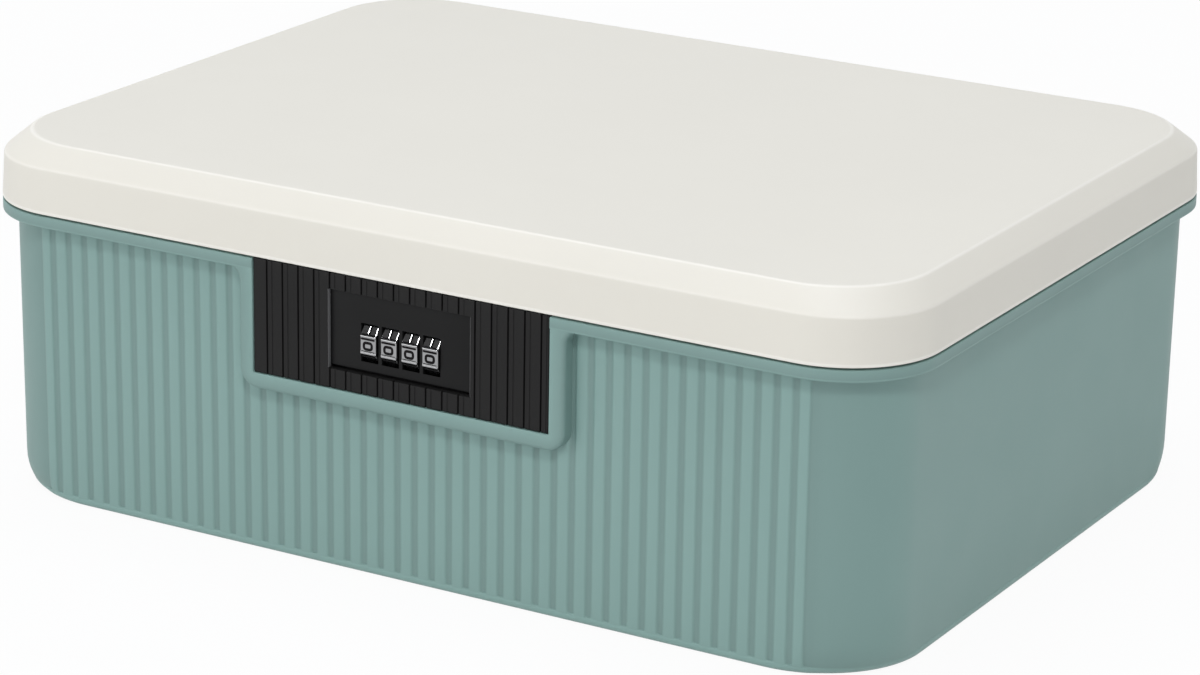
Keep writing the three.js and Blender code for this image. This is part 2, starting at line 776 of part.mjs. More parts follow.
// A hub key, or the wider way for it, pointing down from the axis
function keyBlock( x, width, reach ) {

	const y = [ DIAL_AXIS_Y - width / 2, DIAL_AXIS_Y + width / 2 ];
	return block( x, y, [ DIAL_HEIGHT - reach, DIAL_HEIGHT ] );

}

function dialRing( index ) {

	const x = [ dialX( index ) - DIAL_WIDTH / 2, dialX( index ) + DIAL_WIDTH / 2 ];
	const through = [ x[ 0 ] - OVERRUN, x[ 1 ] + OVERRUN ];
	return cut( sidePrism( dialOutline(), x ), [
		rodAlongX( HUB_RADIUS + DIAL_BORE_CLEARANCE, through, DIAL_AXIS_Y, DIAL_HEIGHT ),
		keyBlock( through, KEY_WIDTH + 2 * KEY_CLEARANCE, HUB_RADIUS + KEY_HEIGHT + KEY_CLEARANCE )
	] );

}

// The disc has a flat gate at its back, which lets a finger of the hasp pass when the dial shows its digit
function codeDisc( index ) {

	const disc = [ gapX( index ) - DISC_THICKNESS / 2, gapX( index ) + DISC_THICKNESS / 2 ];
	const hub = [ dialX( index ) - DIAL_WIDTH / 2 + SEAT_GAP, disc[ 1 ] ];
	const hubEnd = disc[ 0 ] + DISC_THICKNESS / 2;
	const through = [ hub[ 0 ] - OVERRUN, hub[ 1 ] + OVERRUN ];
	const whole = joined( [
		rodAlongX( DISC_RADIUS, disc, DIAL_AXIS_Y, DIAL_HEIGHT ),
		rodAlongX( HUB_RADIUS, [ hub[ 0 ], hubEnd ], DIAL_AXIS_Y, DIAL_HEIGHT ),
		keyBlock( [ hub[ 0 ], hubEnd ], KEY_WIDTH, HUB_RADIUS + KEY_HEIGHT )
	] );
	const gate = block(
		[ disc[ 0 ] - SEAT_GAP, disc[ 1 ] + OVERRUN ],
		[ DIAL_AXIS_Y + DISC_GATE, DIAL_AXIS_Y + DISC_RADIUS + OVERRUN ],
		[ DIAL_HEIGHT - DISC_RADIUS - OVERRUN, DIAL_HEIGHT + DISC_RADIUS + OVERRUN ]
	);
	const bore = rodAlongX( SPINDLE_RADIUS + SEAT_GAP, through, DIAL_AXIS_Y, DIAL_HEIGHT, SMALL_SIDES );
	return cut( whole, [ gate, bore ] );

}

// Spindle

function dialSpindle() {

	const headX = HOUSING_HALF + SEAT_GAP;
	const clip = clipRange();
	const tail = clip[ 0 ] - SPINDLE_TAIL + CLIP_THICKNESS;
	const groove = [ clip[ 0 ] - SEAT_GAP / 2, clip[ 1 ] + SEAT_GAP / 2 ];
	const stages = [
		[ SPINDLE_RADIUS, [ tail, groove[ 0 ] ] ],
		[ SPINDLE_RADIUS - CLIP_GROOVE_DEPTH, [ groove[ 0 ] - SEAT_GAP, groove[ 1 ] + SEAT_GAP ] ],
		[ SPINDLE_RADIUS, [ groove[ 1 ], headX + SEAT_GAP ] ],
		[ SPINDLE_HEAD_RADIUS, [ headX, headX + SPINDLE_HEAD_THICKNESS ] ]
	];
	return joined( stages.map( ( [ radius, x ] ) =>
		rodAlongX( radius, x, DIAL_AXIS_Y, DIAL_HEIGHT, SMALL_SIDES ) ) );

}

function clipRange() {

	const right = - HOUSING_HALF - SEAT_GAP;
	return [ right - CLIP_THICKNESS, right ];

}

function spindleClip() {

	const outline = new THREE.Shape().absarc( DIAL_AXIS_Y, DIAL_HEIGHT, CLIP_RADIUS, 0, 2 * Math.PI, false );
	const holeRadius = SPINDLE_RADIUS - CLIP_GROOVE_DEPTH + SEAT_GAP / 2;
	outline.holes.push( circlePath( holeRadius, DIAL_AXIS_Y, DIAL_HEIGHT ) );
	const mouth = block(
		[ clipRange()[ 0 ] - OVERRUN, clipRange()[ 1 ] + OVERRUN ],
		[ DIAL_AXIS_Y - CLIP_MOUTH_WIDTH / 2, DIAL_AXIS_Y + CLIP_MOUTH_WIDTH / 2 ],
		[ DIAL_HEIGHT - CLIP_RADIUS - OVERRUN, DIAL_HEIGHT ]
	);
	return sidePrism( outline, clipRange() ).subtract( mouth );

}

function spindleCollar() {

	const x = [ gapX( DIAL_COUNT - 1 ) + DISC_THICKNESS / 2 + SEAT_GAP, CHEEK_INNER - SEAT_GAP ];
	const through = [ x[ 0 ] - OVERRUN, x[ 1 ] + OVERRUN ];
	const bore = SPINDLE_RADIUS + SEAT_GAP;
	return rodAlongX( bore + COLLAR_WALL, x, DIAL_AXIS_Y, DIAL_HEIGHT )
		.subtract( rodAlongX( bore, through, DIAL_AXIS_Y, DIAL_HEIGHT, SMALL_SIDES ) );

}

class HelixCurve extends THREE.Curve {

	constructor( start, end ) {

		super();
		this.start = start;
		this.end = end;

	}

	getPoint( t, target = new THREE.Vector3() ) {

		const angle = 2 * Math.PI * SPRING_TURNS * t;
		return target.set(
			this.start + ( this.end - this.start ) * t,
			DIAL_AXIS_Y + SPRING_RADIUS * Math.cos( angle ),
			DIAL_HEIGHT + SPRING_RADIUS * Math.sin( angle )
		);

	}

}

function spindleSpring() {

	const margin = SEAT_GAP + SPRING_WIRE_RADIUS;
	const path = new HelixCurve( - CHEEK_INNER + margin, dialX( 0 ) - DIAL_WIDTH / 2 - margin );
	const wire = new THREE.Shape();
	for ( let side = 0; side < SPRING_SIDES; side ++ ) {

		const angle = 2 * Math.PI * side / SPRING_SIDES;
		const [ u, v ] = [ SPRING_WIRE_RADIUS * Math.cos( angle ), SPRING_WIRE_RADIUS * Math.sin( angle ) ];
		if ( side === 0 ) wire.moveTo( u, v );
		else wire.lineTo( u, v );

	}

	wire.closePath();
	const steps = Math.round( SPRING_TURNS * SPRING_STEPS_PER_TURN );
	return solidOf( new THREE.ExtrudeGeometry( wire, { steps, extrudePath: path, bevelEnabled: false } ) );

}

// Lock housing and rear cover

function coverScrewPlaces() {

	const heights = [ HOUSING_BOTTOM + COVER_BOSS_INSET, HOUSING_TOP - COVER_BOSS_INSET ];
	return around( HOUSING_HALF - COVER_BOSS_INSET ).flatMap( ( x ) => heights.map( ( z ) => [ x, z ] ) );

}

// How far a point of the hasp comes forward as it swings up to the top of the housing
function haspSwing( height ) {

	const reach = HINGE_Y - FINGER_FRONT;
	const drop = HINGE_Z - height;
	const dropAtTop = HINGE_Z - HOUSING_TOP;
	return Math.sqrt( reach * reach + drop * drop - dropAtTop * dropAtTop ) - reach;

}

function lockHousing() {

	const through = [ NOTCH_FLOOR - OVERRUN, HOUSING_BACK + OVERRUN ];
	const hollowHeight = [ HOUSING_BOTTOM + HOUSING_WALL, HOUSING_TOP - HOUSING_WALL ];
	const shell = joined( [
		block( around( HOUSING_HALF ), [ NOTCH_FLOOR, HOUSING_BACK ], [ HOUSING_BOTTOM, HOUSING_TOP ] ),
		block( around( EAR_HALF ), [ EAR_FRONT, EAR_BACK ], [ EAR_BOTTOM, HOUSING_TOP ] )
	] ).subtract( block( around( CHEEK_INNER ), through, hollowHeight ) );
	const bossDepth = [ HOUSING_BACK - COVER_BOSS_LENGTH, HOUSING_BACK ];
	const bosses = coverScrewPlaces().map( ( [ x, z ] ) => rodAlongY( COVER_BOSS_RADIUS, bossDepth, x, z ) );
	const slotFront = FINGER_FRONT - haspSwing( FINGER_TOE_BOTTOM ) - HASP_SLOT_CLEARANCE;
	const haspSlot = block(
		[ gapX( 0 ) - FINGER_THICKNESS / 2 - WEB_MARGIN - HASP_SLOT_CLEARANCE, CHEEK_INNER ],
		[ slotFront, FINGER_BACK + HASP_SLOT_CLEARANCE ],
		[ HOUSING_TOP - HOUSING_WALL - SEAT_GAP, HOUSING_TOP + OVERRUN ]
	);
	const endRadius = SPINDLE_HEAD_RADIUS + SPINDLE_END_CLEARANCE;
	const end = HOUSING_HALF + SPINDLE_TAIL + SPINDLE_END_CLEARANCE;
	const coverHole = [ COVER_BACK - COVER_SCREW.length - SEAT_GAP, HOUSING_BACK + OVERRUN ];
	const coverHoleRadius = COVER_SCREW.shank + SCREW_HOLE_CLEARANCE;
	const fasciaHole = [ EAR_FRONT - OVERRUN, EAR_BACK + OVERRUN ];
	const fasciaHoleRadius = FASCIA_SCREW.shank + SCREW_HOLE_CLEARANCE;
	return cut( joined( [ shell, ...bosses ] ), [
		haspSlot,
		rodAlongX( endRadius, [ HOUSING_HALF, end ], DIAL_AXIS_Y, DIAL_HEIGHT ),
		rodAlongX( endRadius, [ - end, - HOUSING_HALF ], DIAL_AXIS_Y, DIAL_HEIGHT ),
		rodAlongX( SPINDLE_RADIUS + SEAT_GAP, around( end ), DIAL_AXIS_Y, DIAL_HEIGHT, SMALL_SIDES ),
		...coverScrewPlaces().map( ( [ x, z ] ) => rodAlongY( coverHoleRadius, coverHole, x, z ) ),
		...fasciaScrewPlaces().map( ( [ x, z ] ) => rodAlongY( fasciaHoleRadius, fasciaHole, x, z ) )
	] );

}

function lockRearCover() {

	const through = [ COVER_FRONT - OVERRUN, COVER_BACK + OVERRUN ];
	const slotHalf = LEVER_NECK_LENGTH / 2 + SEAT_GAP;
	const slotRise = LEVER_NECK_HEIGHT / 2 + SEAT_GAP;
	const slotHeight = [ LEVER_HEIGHT - slotRise, LEVER_HEIGHT + slotRise ];
	const holeRadius = COVER_SCREW.shank + SCREW_HOLE_CLEARANCE;
	return cut( block( around( HOUSING_HALF ), [ COVER_FRONT, COVER_BACK ], [ HOUSING_BOTTOM, HOUSING_TOP ] ), [
		block( [ - slotHalf, slotHalf + LEVER_TRAVEL ], through, slotHeight ),
		...coverScrewPlaces().map( ( [ x, z ] ) => rodAlongY( holeRadius, through, x, z ) )
	] );

}

// A knob behind the cover, a neck through its slot and a foot in front of it
function codeResetLever() {

	const heightOf = ( height ) => [ LEVER_HEIGHT - height / 2, LEVER_HEIGHT + height / 2 ];
	const knob = [ COVER_BACK + SEAT_GAP, COVER_BACK + SEAT_GAP + LEVER_KNOB_DEPTH ];
	const foot = [ COVER_FRONT - SEAT_GAP - LEVER_FOOT_DEPTH, COVER_FRONT - SEAT_GAP ];
	const neck = [ foot[ 1 ] - LEVER_FOOT_DEPTH / 2, knob[ 0 ] + LEVER_KNOB_DEPTH / 2 ];
	const grips = Array.from( { length: LEVER_GRIP_COUNT }, ( _, index ) => {

		const x = ( index - ( LEVER_GRIP_COUNT - 1 ) / 2 ) * LEVER_KNOB_LENGTH / ( LEVER_GRIP_COUNT + 1 );
		return block(
			[ x - LEVER_GRIP_WIDTH / 2, x + LEVER_GRIP_WIDTH / 2 ],
			[ knob[ 1 ] - LEVER_GRIP_DEPTH, knob[ 1 ] + OVERRUN ],
			heightOf( LEVER_KNOB_HEIGHT + OVERRUN )
		);

	} );
	const whole = joined( [
		block( around( LEVER_KNOB_LENGTH / 2 ), knob, heightOf( LEVER_KNOB_HEIGHT ) ),
		block( around( LEVER_NECK_LENGTH / 2 ), neck, heightOf( LEVER_NECK_HEIGHT ) ),
		block( around( LEVER_FOOT_LENGTH / 2 ), foot, heightOf( LEVER_FOOT_HEIGHT ) )
	] );
	return cut( whole, grips );

}

// A strip on the housing floor with one bent leaf pressed towards each dial
function detentSpring() {

	const floor = HOUSING_BOTTOM + HOUSING_WALL + SEAT_GAP;
	const crest = DIAL_HEIGHT - DIAL_RADIUS - SEAT_GAP;
	const stripFront = DIAL_AXIS_Y + LEAF_REACH;
	const strip = block(
		around( CHEEK_INNER - SEAT_GAP ),
		[ stripFront, stripFront + LEAF_STRIP_DEPTH ],
		[ floor, floor + LEAF_THICKNESS ]
	);
	const leafPoints = [
		[ DIAL_AXIS_Y - LEAF_REACH, floor ],
		[ DIAL_AXIS_Y, crest - LEAF_THICKNESS ],
		[ stripFront + LEAF_STRIP_DEPTH / 2, floor ]
	];
	const outline = new THREE.Shape( [
		...leafPoints.map( ( point ) => new THREE.Vector2( ...point ) ),
		...leafPoints.reverse().map( ( [ y, z ] ) => new THREE.Vector2( y, z + LEAF_THICKNESS ) )
	] );
	const leaves = Array.from( { length: DIAL_COUNT }, ( _, index ) =>
		sidePrism( outline, [ dialX( index ) - LEAF_WIDTH / 2, dialX( index ) + LEAF_WIDTH / 2 ] ) );
	return joined( [ strip, ...leaves ] );

}

// Hasp comb: a base under the lid, a web through the top of the housing and four hooked fingers

function haspFinger( index ) {

	const top = WEB_BOTTOM + WEB_MARGIN;
	const outline = new THREE.Shape( [
		new THREE.Vector2( FINGER_BACK, FINGER_TOE_BOTTOM ),
		new THREE.Vector2( FINGER_BACK, top ),
		new THREE.Vector2( SHANK_FRONT, top ),
		new THREE.Vector2( SHANK_FRONT, FINGER_TOE_TOP ),
		new THREE.Vector2( FINGER_FRONT, FINGER_TOE_TOP ),
		new THREE.Vector2( FINGER_FRONT, ( FINGER_TOE_BOTTOM + FINGER_TOE_TOP ) / 2 ),
		new THREE.Vector2( SHANK_FRONT, FINGER_TOE_BOTTOM )
	] );
	return sidePrism( outline, [ gapX( index ) - FINGER_THICKNESS / 2, gapX( index ) + FINGER_THICKNESS / 2 ] );

}

function haspComb() {

	const [ [ leftX, postY ], [ rightX ] ] = haspPostPlaces();
	const halfDepth = HASP_BASE_DEPTH / 2;
	const reach = HASP_END_MARGIN - halfDepth;
	const outline = new THREE.Shape();
	outline.absarc( rightX + reach, postY, halfDepth, - Math.PI / 2, Math.PI / 2, false );
	outline.absarc( leftX - reach, postY, halfDepth, Math.PI / 2, 1.5 * Math.PI, false );
	outline.closePath();
	const holeRadius = HASP_SCREW.shank + SCREW_HOLE_CLEARANCE;
	outline.holes.push( ...haspPostPlaces().map( ( [ x, y ] ) => circlePath( holeRadius, x, y ) ) );
	const settings = { depth: HASP_BASE_THICKNESS, bevelEnabled: false, curveSegments: SMALL_SIDES };
	const base = new THREE.ExtrudeGeometry( outline, settings );
	base.translate( 0, 0, HASP_BASE_BOTTOM );
	const webEnd = FINGER_THICKNESS / 2 + WEB_MARGIN;
	const web = block(
		[ gapX( 0 ) - webEnd, gapX( DIAL_COUNT - 1 ) + webEnd ],
		[ SHANK_FRONT, FINGER_BACK ],
		[ WEB_BOTTOM, HASP_BASE_BOTTOM + HASP_BASE_THICKNESS / 2 ]
	);
	const fingers = Array.from( { length: DIAL_COUNT }, ( _, index ) => haspFinger( index ) );
	return joined( [ solidOf( base ), web, ...fingers ] );

}

// Screws: a pan head with a six-sided socket on a plain shank, standing on its head along +Z

function screwSolid( { shank, head, height, length } ) {

	const profile = [
		[ 0, 0 ],
		[ head * SOCKET_SHARE + shank * SOCKET_SHARE, 0 ],
		[ head, height * SOCKET_SHARE ],
		[ head, height ],
		[ shank, height ],
		[ shank, height + length - shank ],
		[ 0, height + length ]
	].map( ( [ radius, along ] ) => new THREE.Vector2( radius, along ) );
	const lathe = new THREE.LatheGeometry( profile, SMALL_SIDES );
	const socketRadius = shank * SOCKET_SHARE;
	const socket = new THREE.CylinderGeometry( socketRadius, socketRadius, height, SOCKET_SIDES );
	return solidOf( lathe ).subtract( solidOf( socket ) );

}

// Turns a screw from +Y to the direction that it is driven in, its head seat at the given point
function placedScrew( size, seat, rotate ) {

	const geometry = geometryOf( screwSolid( size ) );
	geometry.translate( 0, - size.height, 0 );
	rotate( geometry );
	geometry.translate( ...seat );
	return solidOf( geometry );

}

const driveForward = ( geometry ) => geometry.rotateX( Math.PI );
const driveUp = ( geometry ) => geometry.rotateX( Math.PI / 2 );

function hingePin( centre ) {

	const half = LID_KNUCKLE_LENGTH / 2 + SEAT_GAP + TUB_KNUCKLE_LENGTH - PIN_RECESS;
	return rodAlongX( PIN_RADIUS, [ centre - half, centre + half ], HINGE_Y, HINGE_Z, SMALL_SIDES );

}

// Materials

const sagePlastic = { color: 0x7f9a95, roughness: 0.5, metalness: 0 };
const creamPlastic = { color: 0xe4e2da, roughness: 0.45, metalness: 0 };
const blackPlastic = { color: 0x2c2c2e, roughness: 0.55, metalness: 0 };
const chrome = { color: 0xb8babd, roughness: 0.18, metalness: 1 };
const steel = { color: 0x9a9da1, roughness: 0.35, metalness: 1 };
const brass = { color: 0xb59a5c, roughness: 0.35, metalness: 1 };
const zinc = { color: 0x8d9094, roughness: 0.45, metalness: 1 };

const lockBox = new THREE.Group();

function addPiece( name, solid, look ) {

	const mesh = new THREE.Mesh( geometryOf( solid ), new THREE.MeshStandardMaterial( look ) );
	mesh.name = name;
	lockBox.add( mesh );

}

function addScrews( name, size, seats, turn ) {

	seats.forEach( ( seat, index ) => {

		addPiece( `${ name }_${ index + 1 }`, placedScrew( size, seat, turn ), steel );

	} );

}

addPiece( 'body_tub', bodyTub(), sagePlastic );
addPiece( 'lid_shell', lidShell(), creamPlastic );
addPiece( 'lock_fascia', lockFascia(), blackPlastic );
addPiece( 'dial_plate', dialPlate(), blackPlastic );
addPiece( 'lock_housing', lockHousing(), blackPlastic );
addPiece( 'lock_rear_cover', lockRearCover(), blackPlastic );
addPiece( 'code_reset_lever', codeResetLever(), blackPlastic );
addPiece( 'dial_spindle', dialSpindle(), steel );
addPiece( 'spindle_clip', spindleClip(), steel );
addPiece( 'spindle_collar', spindleCollar(), brass );
addPiece( 'spindle_spring', spindleSpring(), steel );
addPiece( 'detent_spring', detentSpring(), steel );
for ( let index = 0; index < DIAL_COUNT; index ++ ) {

	addPiece( `dial_ring_${ index + 1 }`, dialRing( index ), chrome );
	addPiece( `code_disc_${ index + 1 }`, codeDisc( index ), brass );

}

addPiece( 'hasp_comb', haspComb(), zinc );

const haspSeats = haspPostPlaces().map( ( [ x, y ] ) => [ x, y, HASP_BASE_BOTTOM ] );
const coverSeats = coverScrewPlaces().map( ( [ x, z ] ) => [ x, COVER_BACK, z ] );
const fasciaSeats = fasciaScrewPlaces().map( ( [ x, z ] ) => [ x, EAR_BACK, z ] );
addScrews( 'hasp_screw', HASP_SCREW, haspSeats, driveUp );
addScrews( 'cover_screw', COVER_SCREW, coverSeats, driveForward );
addScrews( 'fascia_screw', FASCIA_SCREW, fasciaSeats, driveForward );
addPiece( 'hinge_pin_left', hingePin( hingeCentres()[ 0 ] ), steel );
addPiece( 'hinge_pin_right', hingePin( hingeCentres()[ 1 ] ), steel );

export default lockBox;
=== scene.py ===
"""Dresses a medication lock box: a moulded tub, a hinged lid and a lock with four number dials.

Metres, +Z up, the front faces -Y. Distances that are easier to read in millimetres are written as N * MM.
"""

import json
import math

import bmesh
import bpy
import numpy as np
from bpy.props import FloatProperty, FloatVectorProperty, IntProperty, PointerProperty
from mathutils import Matrix, Vector


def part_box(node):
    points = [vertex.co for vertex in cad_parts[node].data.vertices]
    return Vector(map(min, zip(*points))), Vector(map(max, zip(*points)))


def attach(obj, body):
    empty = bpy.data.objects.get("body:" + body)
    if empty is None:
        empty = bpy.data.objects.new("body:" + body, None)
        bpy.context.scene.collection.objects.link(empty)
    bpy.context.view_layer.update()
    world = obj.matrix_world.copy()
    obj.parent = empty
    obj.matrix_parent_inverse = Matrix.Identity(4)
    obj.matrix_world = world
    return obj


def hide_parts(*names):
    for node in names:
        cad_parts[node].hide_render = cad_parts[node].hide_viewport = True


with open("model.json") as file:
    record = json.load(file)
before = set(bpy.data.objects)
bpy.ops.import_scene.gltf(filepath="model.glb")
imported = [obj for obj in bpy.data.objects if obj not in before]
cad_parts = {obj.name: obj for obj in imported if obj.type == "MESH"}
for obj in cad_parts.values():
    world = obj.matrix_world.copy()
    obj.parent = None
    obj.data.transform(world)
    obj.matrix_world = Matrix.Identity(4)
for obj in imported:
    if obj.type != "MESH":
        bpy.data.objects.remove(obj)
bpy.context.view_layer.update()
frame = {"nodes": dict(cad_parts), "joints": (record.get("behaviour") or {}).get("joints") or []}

bl_info = {
    "name": "Medication Lock Box",
    "version": (1, 0, 0),
    "blender": (4, 5, 0),
    "location": "View3D > Sidebar > Lock Box",
    "description": "Builds the visible surfaces and finishes of a medication lock box round its packed frame",
    "category": "Object",
}

MM = 0.001
MERGE_DISTANCE = 0.5e-6
TURNED_SIDES = 40
DIAL_FACES = 10
LID_LOW, LID_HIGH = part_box("lid_shell")
FASCIA_LOW, FASCIA_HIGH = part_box("lock_fascia")
PLATE_LOW, PLATE_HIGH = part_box("dial_plate")
DIAL_LOW, DIAL_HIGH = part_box("dial_ring_1")
HOUSING_LOW, HOUSING_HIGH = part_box("lock_housing")
DIAL_HALF = (DIAL_HIGH.x - DIAL_LOW.x) / 2
JOINTS = {joint["name"]: joint for joint in frame["joints"]}
HINGE = Vector(JOINTS["lid_hinge"]["pos_m"])
DIALS = [Vector(JOINTS[f"dial_{number}_turn"]["pos_m"]) for number in (1, 2, 3, 4)]

# The room round the lock's pieces, the notch that holds the fascia, and the left, right, bottom and top of the way
# through the tub for the lock
ROOM = 0.3 * MM
NOTCH_HALF, NOTCH_LOW = FASCIA_HIGH.x + ROOM, FASCIA_LOW.z - ROOM
LOCK_WAY = (-HOUSING_HIGH.x - ROOM, HOUSING_HIGH.x + ROOM, HOUSING_LOW.z - ROOM, 88.8 * MM)


# Sizes and colours


def length(name, description, default):
    return FloatProperty(name=name, description=description, default=default, min=0, unit="LENGTH", precision=5)


def colour(name, description, default):
    words = {"name": name, "description": description}
    return FloatVectorProperty(**words, default=default, min=0, max=1, size=3, subtype="COLOR")


class BoxSizes(bpy.types.PropertyGroup):
    """Sizes of the lid and the tub."""

    half_length: length("Half length", "From the middle to the side of the lid", LID_HIGH.x)
    half_depth: length("Half depth", "From the middle to the front of the lid", -LID_LOW.y)
    corner: length("Corner radius", "Radius of the upright corners", 30 * MM)
    parting: length("Parting height", "Height at which the lid meets the tub", HINGE.z)
    top: length("Height", "Height of the closed box", LID_HIGH.z)
    bevel: length("Bevel height", "Height of the slope round the lid's top", 6.5 * MM)
    top_inset: length("Top inset", "How far the lid's flat top is drawn in", 7 * MM)
    top_corner: length("Top corner radius", "Corner radius of the lid's flat top", 29 * MM)
    skirt_draft: length("Skirt draft", "How far the lid's skirt leans in", 0.6 * MM)
    lid_wall: length("Lid wall", "Thickness of the lid", 2.4 * MM)
    wall_inset_top: length("Wall inset at the top", "From the flange's face back to the wall", 4.75 * MM)
    wall_inset_foot: length("Wall inset at the foot", "From the flange's face back to the foot of the wall", 5.25 * MM)
    tub_wall: length("Tub wall", "Thickness of the tub", 2.4 * MM)
    floor: length("Floor", "Thickness of the tub's floor", 2.6 * MM)
    flange: length("Flange height", "Height of the band below the lid", 3.6 * MM)
    lid_gap: length("Lid gap", "Gap between the lid and the flange", 0.6 * MM)
    plinth: length("Plinth height", "Height of the band at the foot", 3 * MM)
    plinth_side: length("Plinth reach", "How far the band at the foot stands out at the sides", 0.15 * MM)
    foot_round: length("Foot radius", "Radius of the plinth's lower edge", 2.6 * MM)
    flange_round: length("Flange radius", "Radius of the flange's lower edge", 0.5 * MM)
    foot_corner: length("Foot corner growth", "How much rounder the upright corners are at the floor", 10 * MM)
    foot_height: length("Foot corner height", "Height up to which the foot's corners are rounder", 12 * MM)
    rib_pitch: length("Rib pitch", "From one front rib to the next", 6 * MM)
    rib_height: length("Rib height", "How far the front ribs stand out", 0.45 * MM)
    rib_count: IntProperty(
        name="Ribs to a side", description="Front ribs on each side of the middle one", default=22, min=0
    )


class LockSizes(bpy.types.PropertyGroup):
    """Sizes of the lock's visible front."""

    border: length("Border width", "Width of the raised band round the fascia", 5 * MM)
    border_corner: length("Border corner radius", "Outer radius of the band's lower corners", 6 * MM)
    border_fillet: length("Border fillet", "Radius where the band flows into the flange", 4 * MM)
    groove_pitch: length("Groove pitch", "From one groove of the fascia to the next", 5.6 * MM)
    groove_width: length("Groove width", "From a deep slit of the fascia to the shallow one beside it", 2.0 * MM)
    groove_depth: length("Groove depth", "Depth of the fascia's deep slits", 1.1 * MM)
    slit: length("Slit width", "Width of the fascia's slits", 0.5 * MM)
    groove_first: length("First groove", "From the fascia's left edge to its first groove", 4.6 * MM)
    window_half: length("Half window width", "From the middle to the side of the window", 24.7 * MM)
    window_low: length("Window bottom", "Height of the window's lower edge", 65 * MM)
    window_high: length("Window top", "Height of the window's upper edge", 89.6 * MM)
    dial_radius: length("Dial radius", "Radius over the dials' ridges", 8.75 * MM)
    dial_face: length("Dial face distance", "From the dial's axis to the middle of a digit's face", 8.17 * MM)
    digit: length("Digit height", "Height of the numbers on the dials", 2.85 * MM)
    digit_width: length("Digit width", "Width of the numbers on the dials", 3.6 * MM)
    stroke: length("Stroke width", "Width of the strokes that the numbers are made of", 0.85 * MM)
    digit_drop: length("Digit drop", "How far the numbers stand below the middle of their faces", 0.3 * MM)


class Colours(bpy.types.PropertyGroup):
    """Colours of the finishes, as they are seen."""

    cream: colour("Cream plastic", "Lid", (0.905, 0.888, 0.846))
    # Painted highlight: the lighter cream on the lid's creases and lower rim stands for light on those edges.
    cream_painted_highlight: colour("Cream edges", "Creases and rim of the lid", (0.955, 0.940, 0.905))
    # Painted shade: this darker sage shows in the grooves and on the flange's face, where shade falls.
    sage: colour("Sage plastic", "Hollows and flange of the tub", (0.472, 0.580, 0.562))
    # Painted highlight: the lighter sage shows on the tub's edges, and in part on its ribs, sides and plinth.
    sage_painted_highlight: colour("Sage edges", "Edges of the tub; its ribs and sides lie between", (0.541, 0.669, 0.647))
    black: colour("Black plastic", "Grooved fascia", (0.121, 0.119, 0.119))
    smooth_black: colour("Smooth black plastic", "Dial plate", (0.082, 0.082, 0.084))
    inner_black: colour("Inner black plastic", "Lock housing and its cover", (0.110, 0.110, 0.114))
    # Painted highlight: a light grey on the narrow sides of the window, where light catches them.
    window_edge: colour("Window edge", "Narrow sides of the window", (0.430, 0.430, 0.434))
    chrome: colour("Chrome", "Dials", (0.625, 0.627, 0.633))
    # The same dark paint also draws the painted shade along the dials' ridges.
    ink: colour("Digit paint", "Numbers on the dials", (0.025, 0.025, 0.027))
    steel: colour("Steel", "Screws, pins and springs", (0.740, 0.750, 0.765))
    brass: colour("Brass", "Code discs and collar", (0.790, 0.660, 0.400))
    zinc: colour("Zinc casting", "Hasp comb", (0.640, 0.650, 0.665))


def linear(seen):
    """The linear colour of one written as it is seen: a line up to 0.04 and a power of 2.4 above it."""
    return tuple(c / 12.92 if c <= 0.04045 else ((c + 0.055) / 1.055) ** 2.4 for c in seen)


# Meshes


def crease(mesh, material, sharp):
    """Gives a mesh its material and smooth shading, and marks the edges that turn by more than an angle in degrees."""
    mesh.materials.append(material)
    mesh.shade_smooth()
    mesh.set_sharp_from_angle(angle=math.radians(sharp))


def add_piece(name, mesh, body, slot, stands_for=()):
    """Puts a mesh into the scene as a piece that rides on a body and stands for the CAD nodes given."""
    piece = bpy.data.objects.new(name, mesh)
    bpy.context.scene.collection.objects.link(piece)
    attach(piece, body)
    if stands_for:
        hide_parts(*stands_for)
    return piece


def finish_mesh(name, points, faces, material, body, stands_for=(), *, slot, sharp=35, painted_light=None):
    """Makes a piece of a point array and index arrays: doubles are merged, faces point outwards, creases are marked.

    The shares of painted light, one to a point, become an attribute that a finish may read to paint highlight and shade
    into its colour.
    """
    mesh = bpy.data.meshes.new(name)
    corners = [face for part in faces for face in part.tolist()]
    mesh.from_pydata(np.asarray(points, float).reshape(-1, 3).tolist(), [], corners)
    if painted_light is not None:
        mesh.attributes.new("painted_light", "FLOAT", "POINT").data.foreach_set("value", np.ravel(painted_light))
    shape = bmesh.new()
    shape.from_mesh(mesh)
    bmesh.ops.remove_doubles(shape, verts=shape.verts, dist=MERGE_DISTANCE)
    bmesh.ops.dissolve_degenerate(shape, edges=shape.edges, dist=MERGE_DISTANCE)
    bmesh.ops.recalc_face_normals(shape, faces=shape.faces)
    shape.to_mesh(mesh)
    shape.free()
    crease(mesh, material, sharp)
    add_piece(name, mesh, body, slot, stands_for)


def quads(index, loop_rows=False, loop_columns=False):
    """Four-sided faces between neighbours of an index grid, round its ends too where it loops."""
    if loop_rows:
        index = np.concatenate([index, index[:1]])
    if loop_columns:
        index = np.concatenate([index, index[:, :1]], axis=1)
    corners = [index[:-1, :-1], index[:-1, 1:], index[1:, 1:], index[1:, :-1]]
    return np.stack([corner.ravel() for corner in corners], axis=-1)


def index_grid(rows, columns, start=0):
    """Numbers from start on, row after row."""
    return start + np.arange(rows * columns).reshape(rows, columns)


def round_steps(radius, steps):
    """Offsets along and across of a quarter circle: radius times (1 - sin) and radius times (1 - cos)."""
    angle = np.linspace(0, math.pi / 2, steps + 1)
    return radius * (1 - np.sin(angle)), radius * (1 - np.cos(angle))


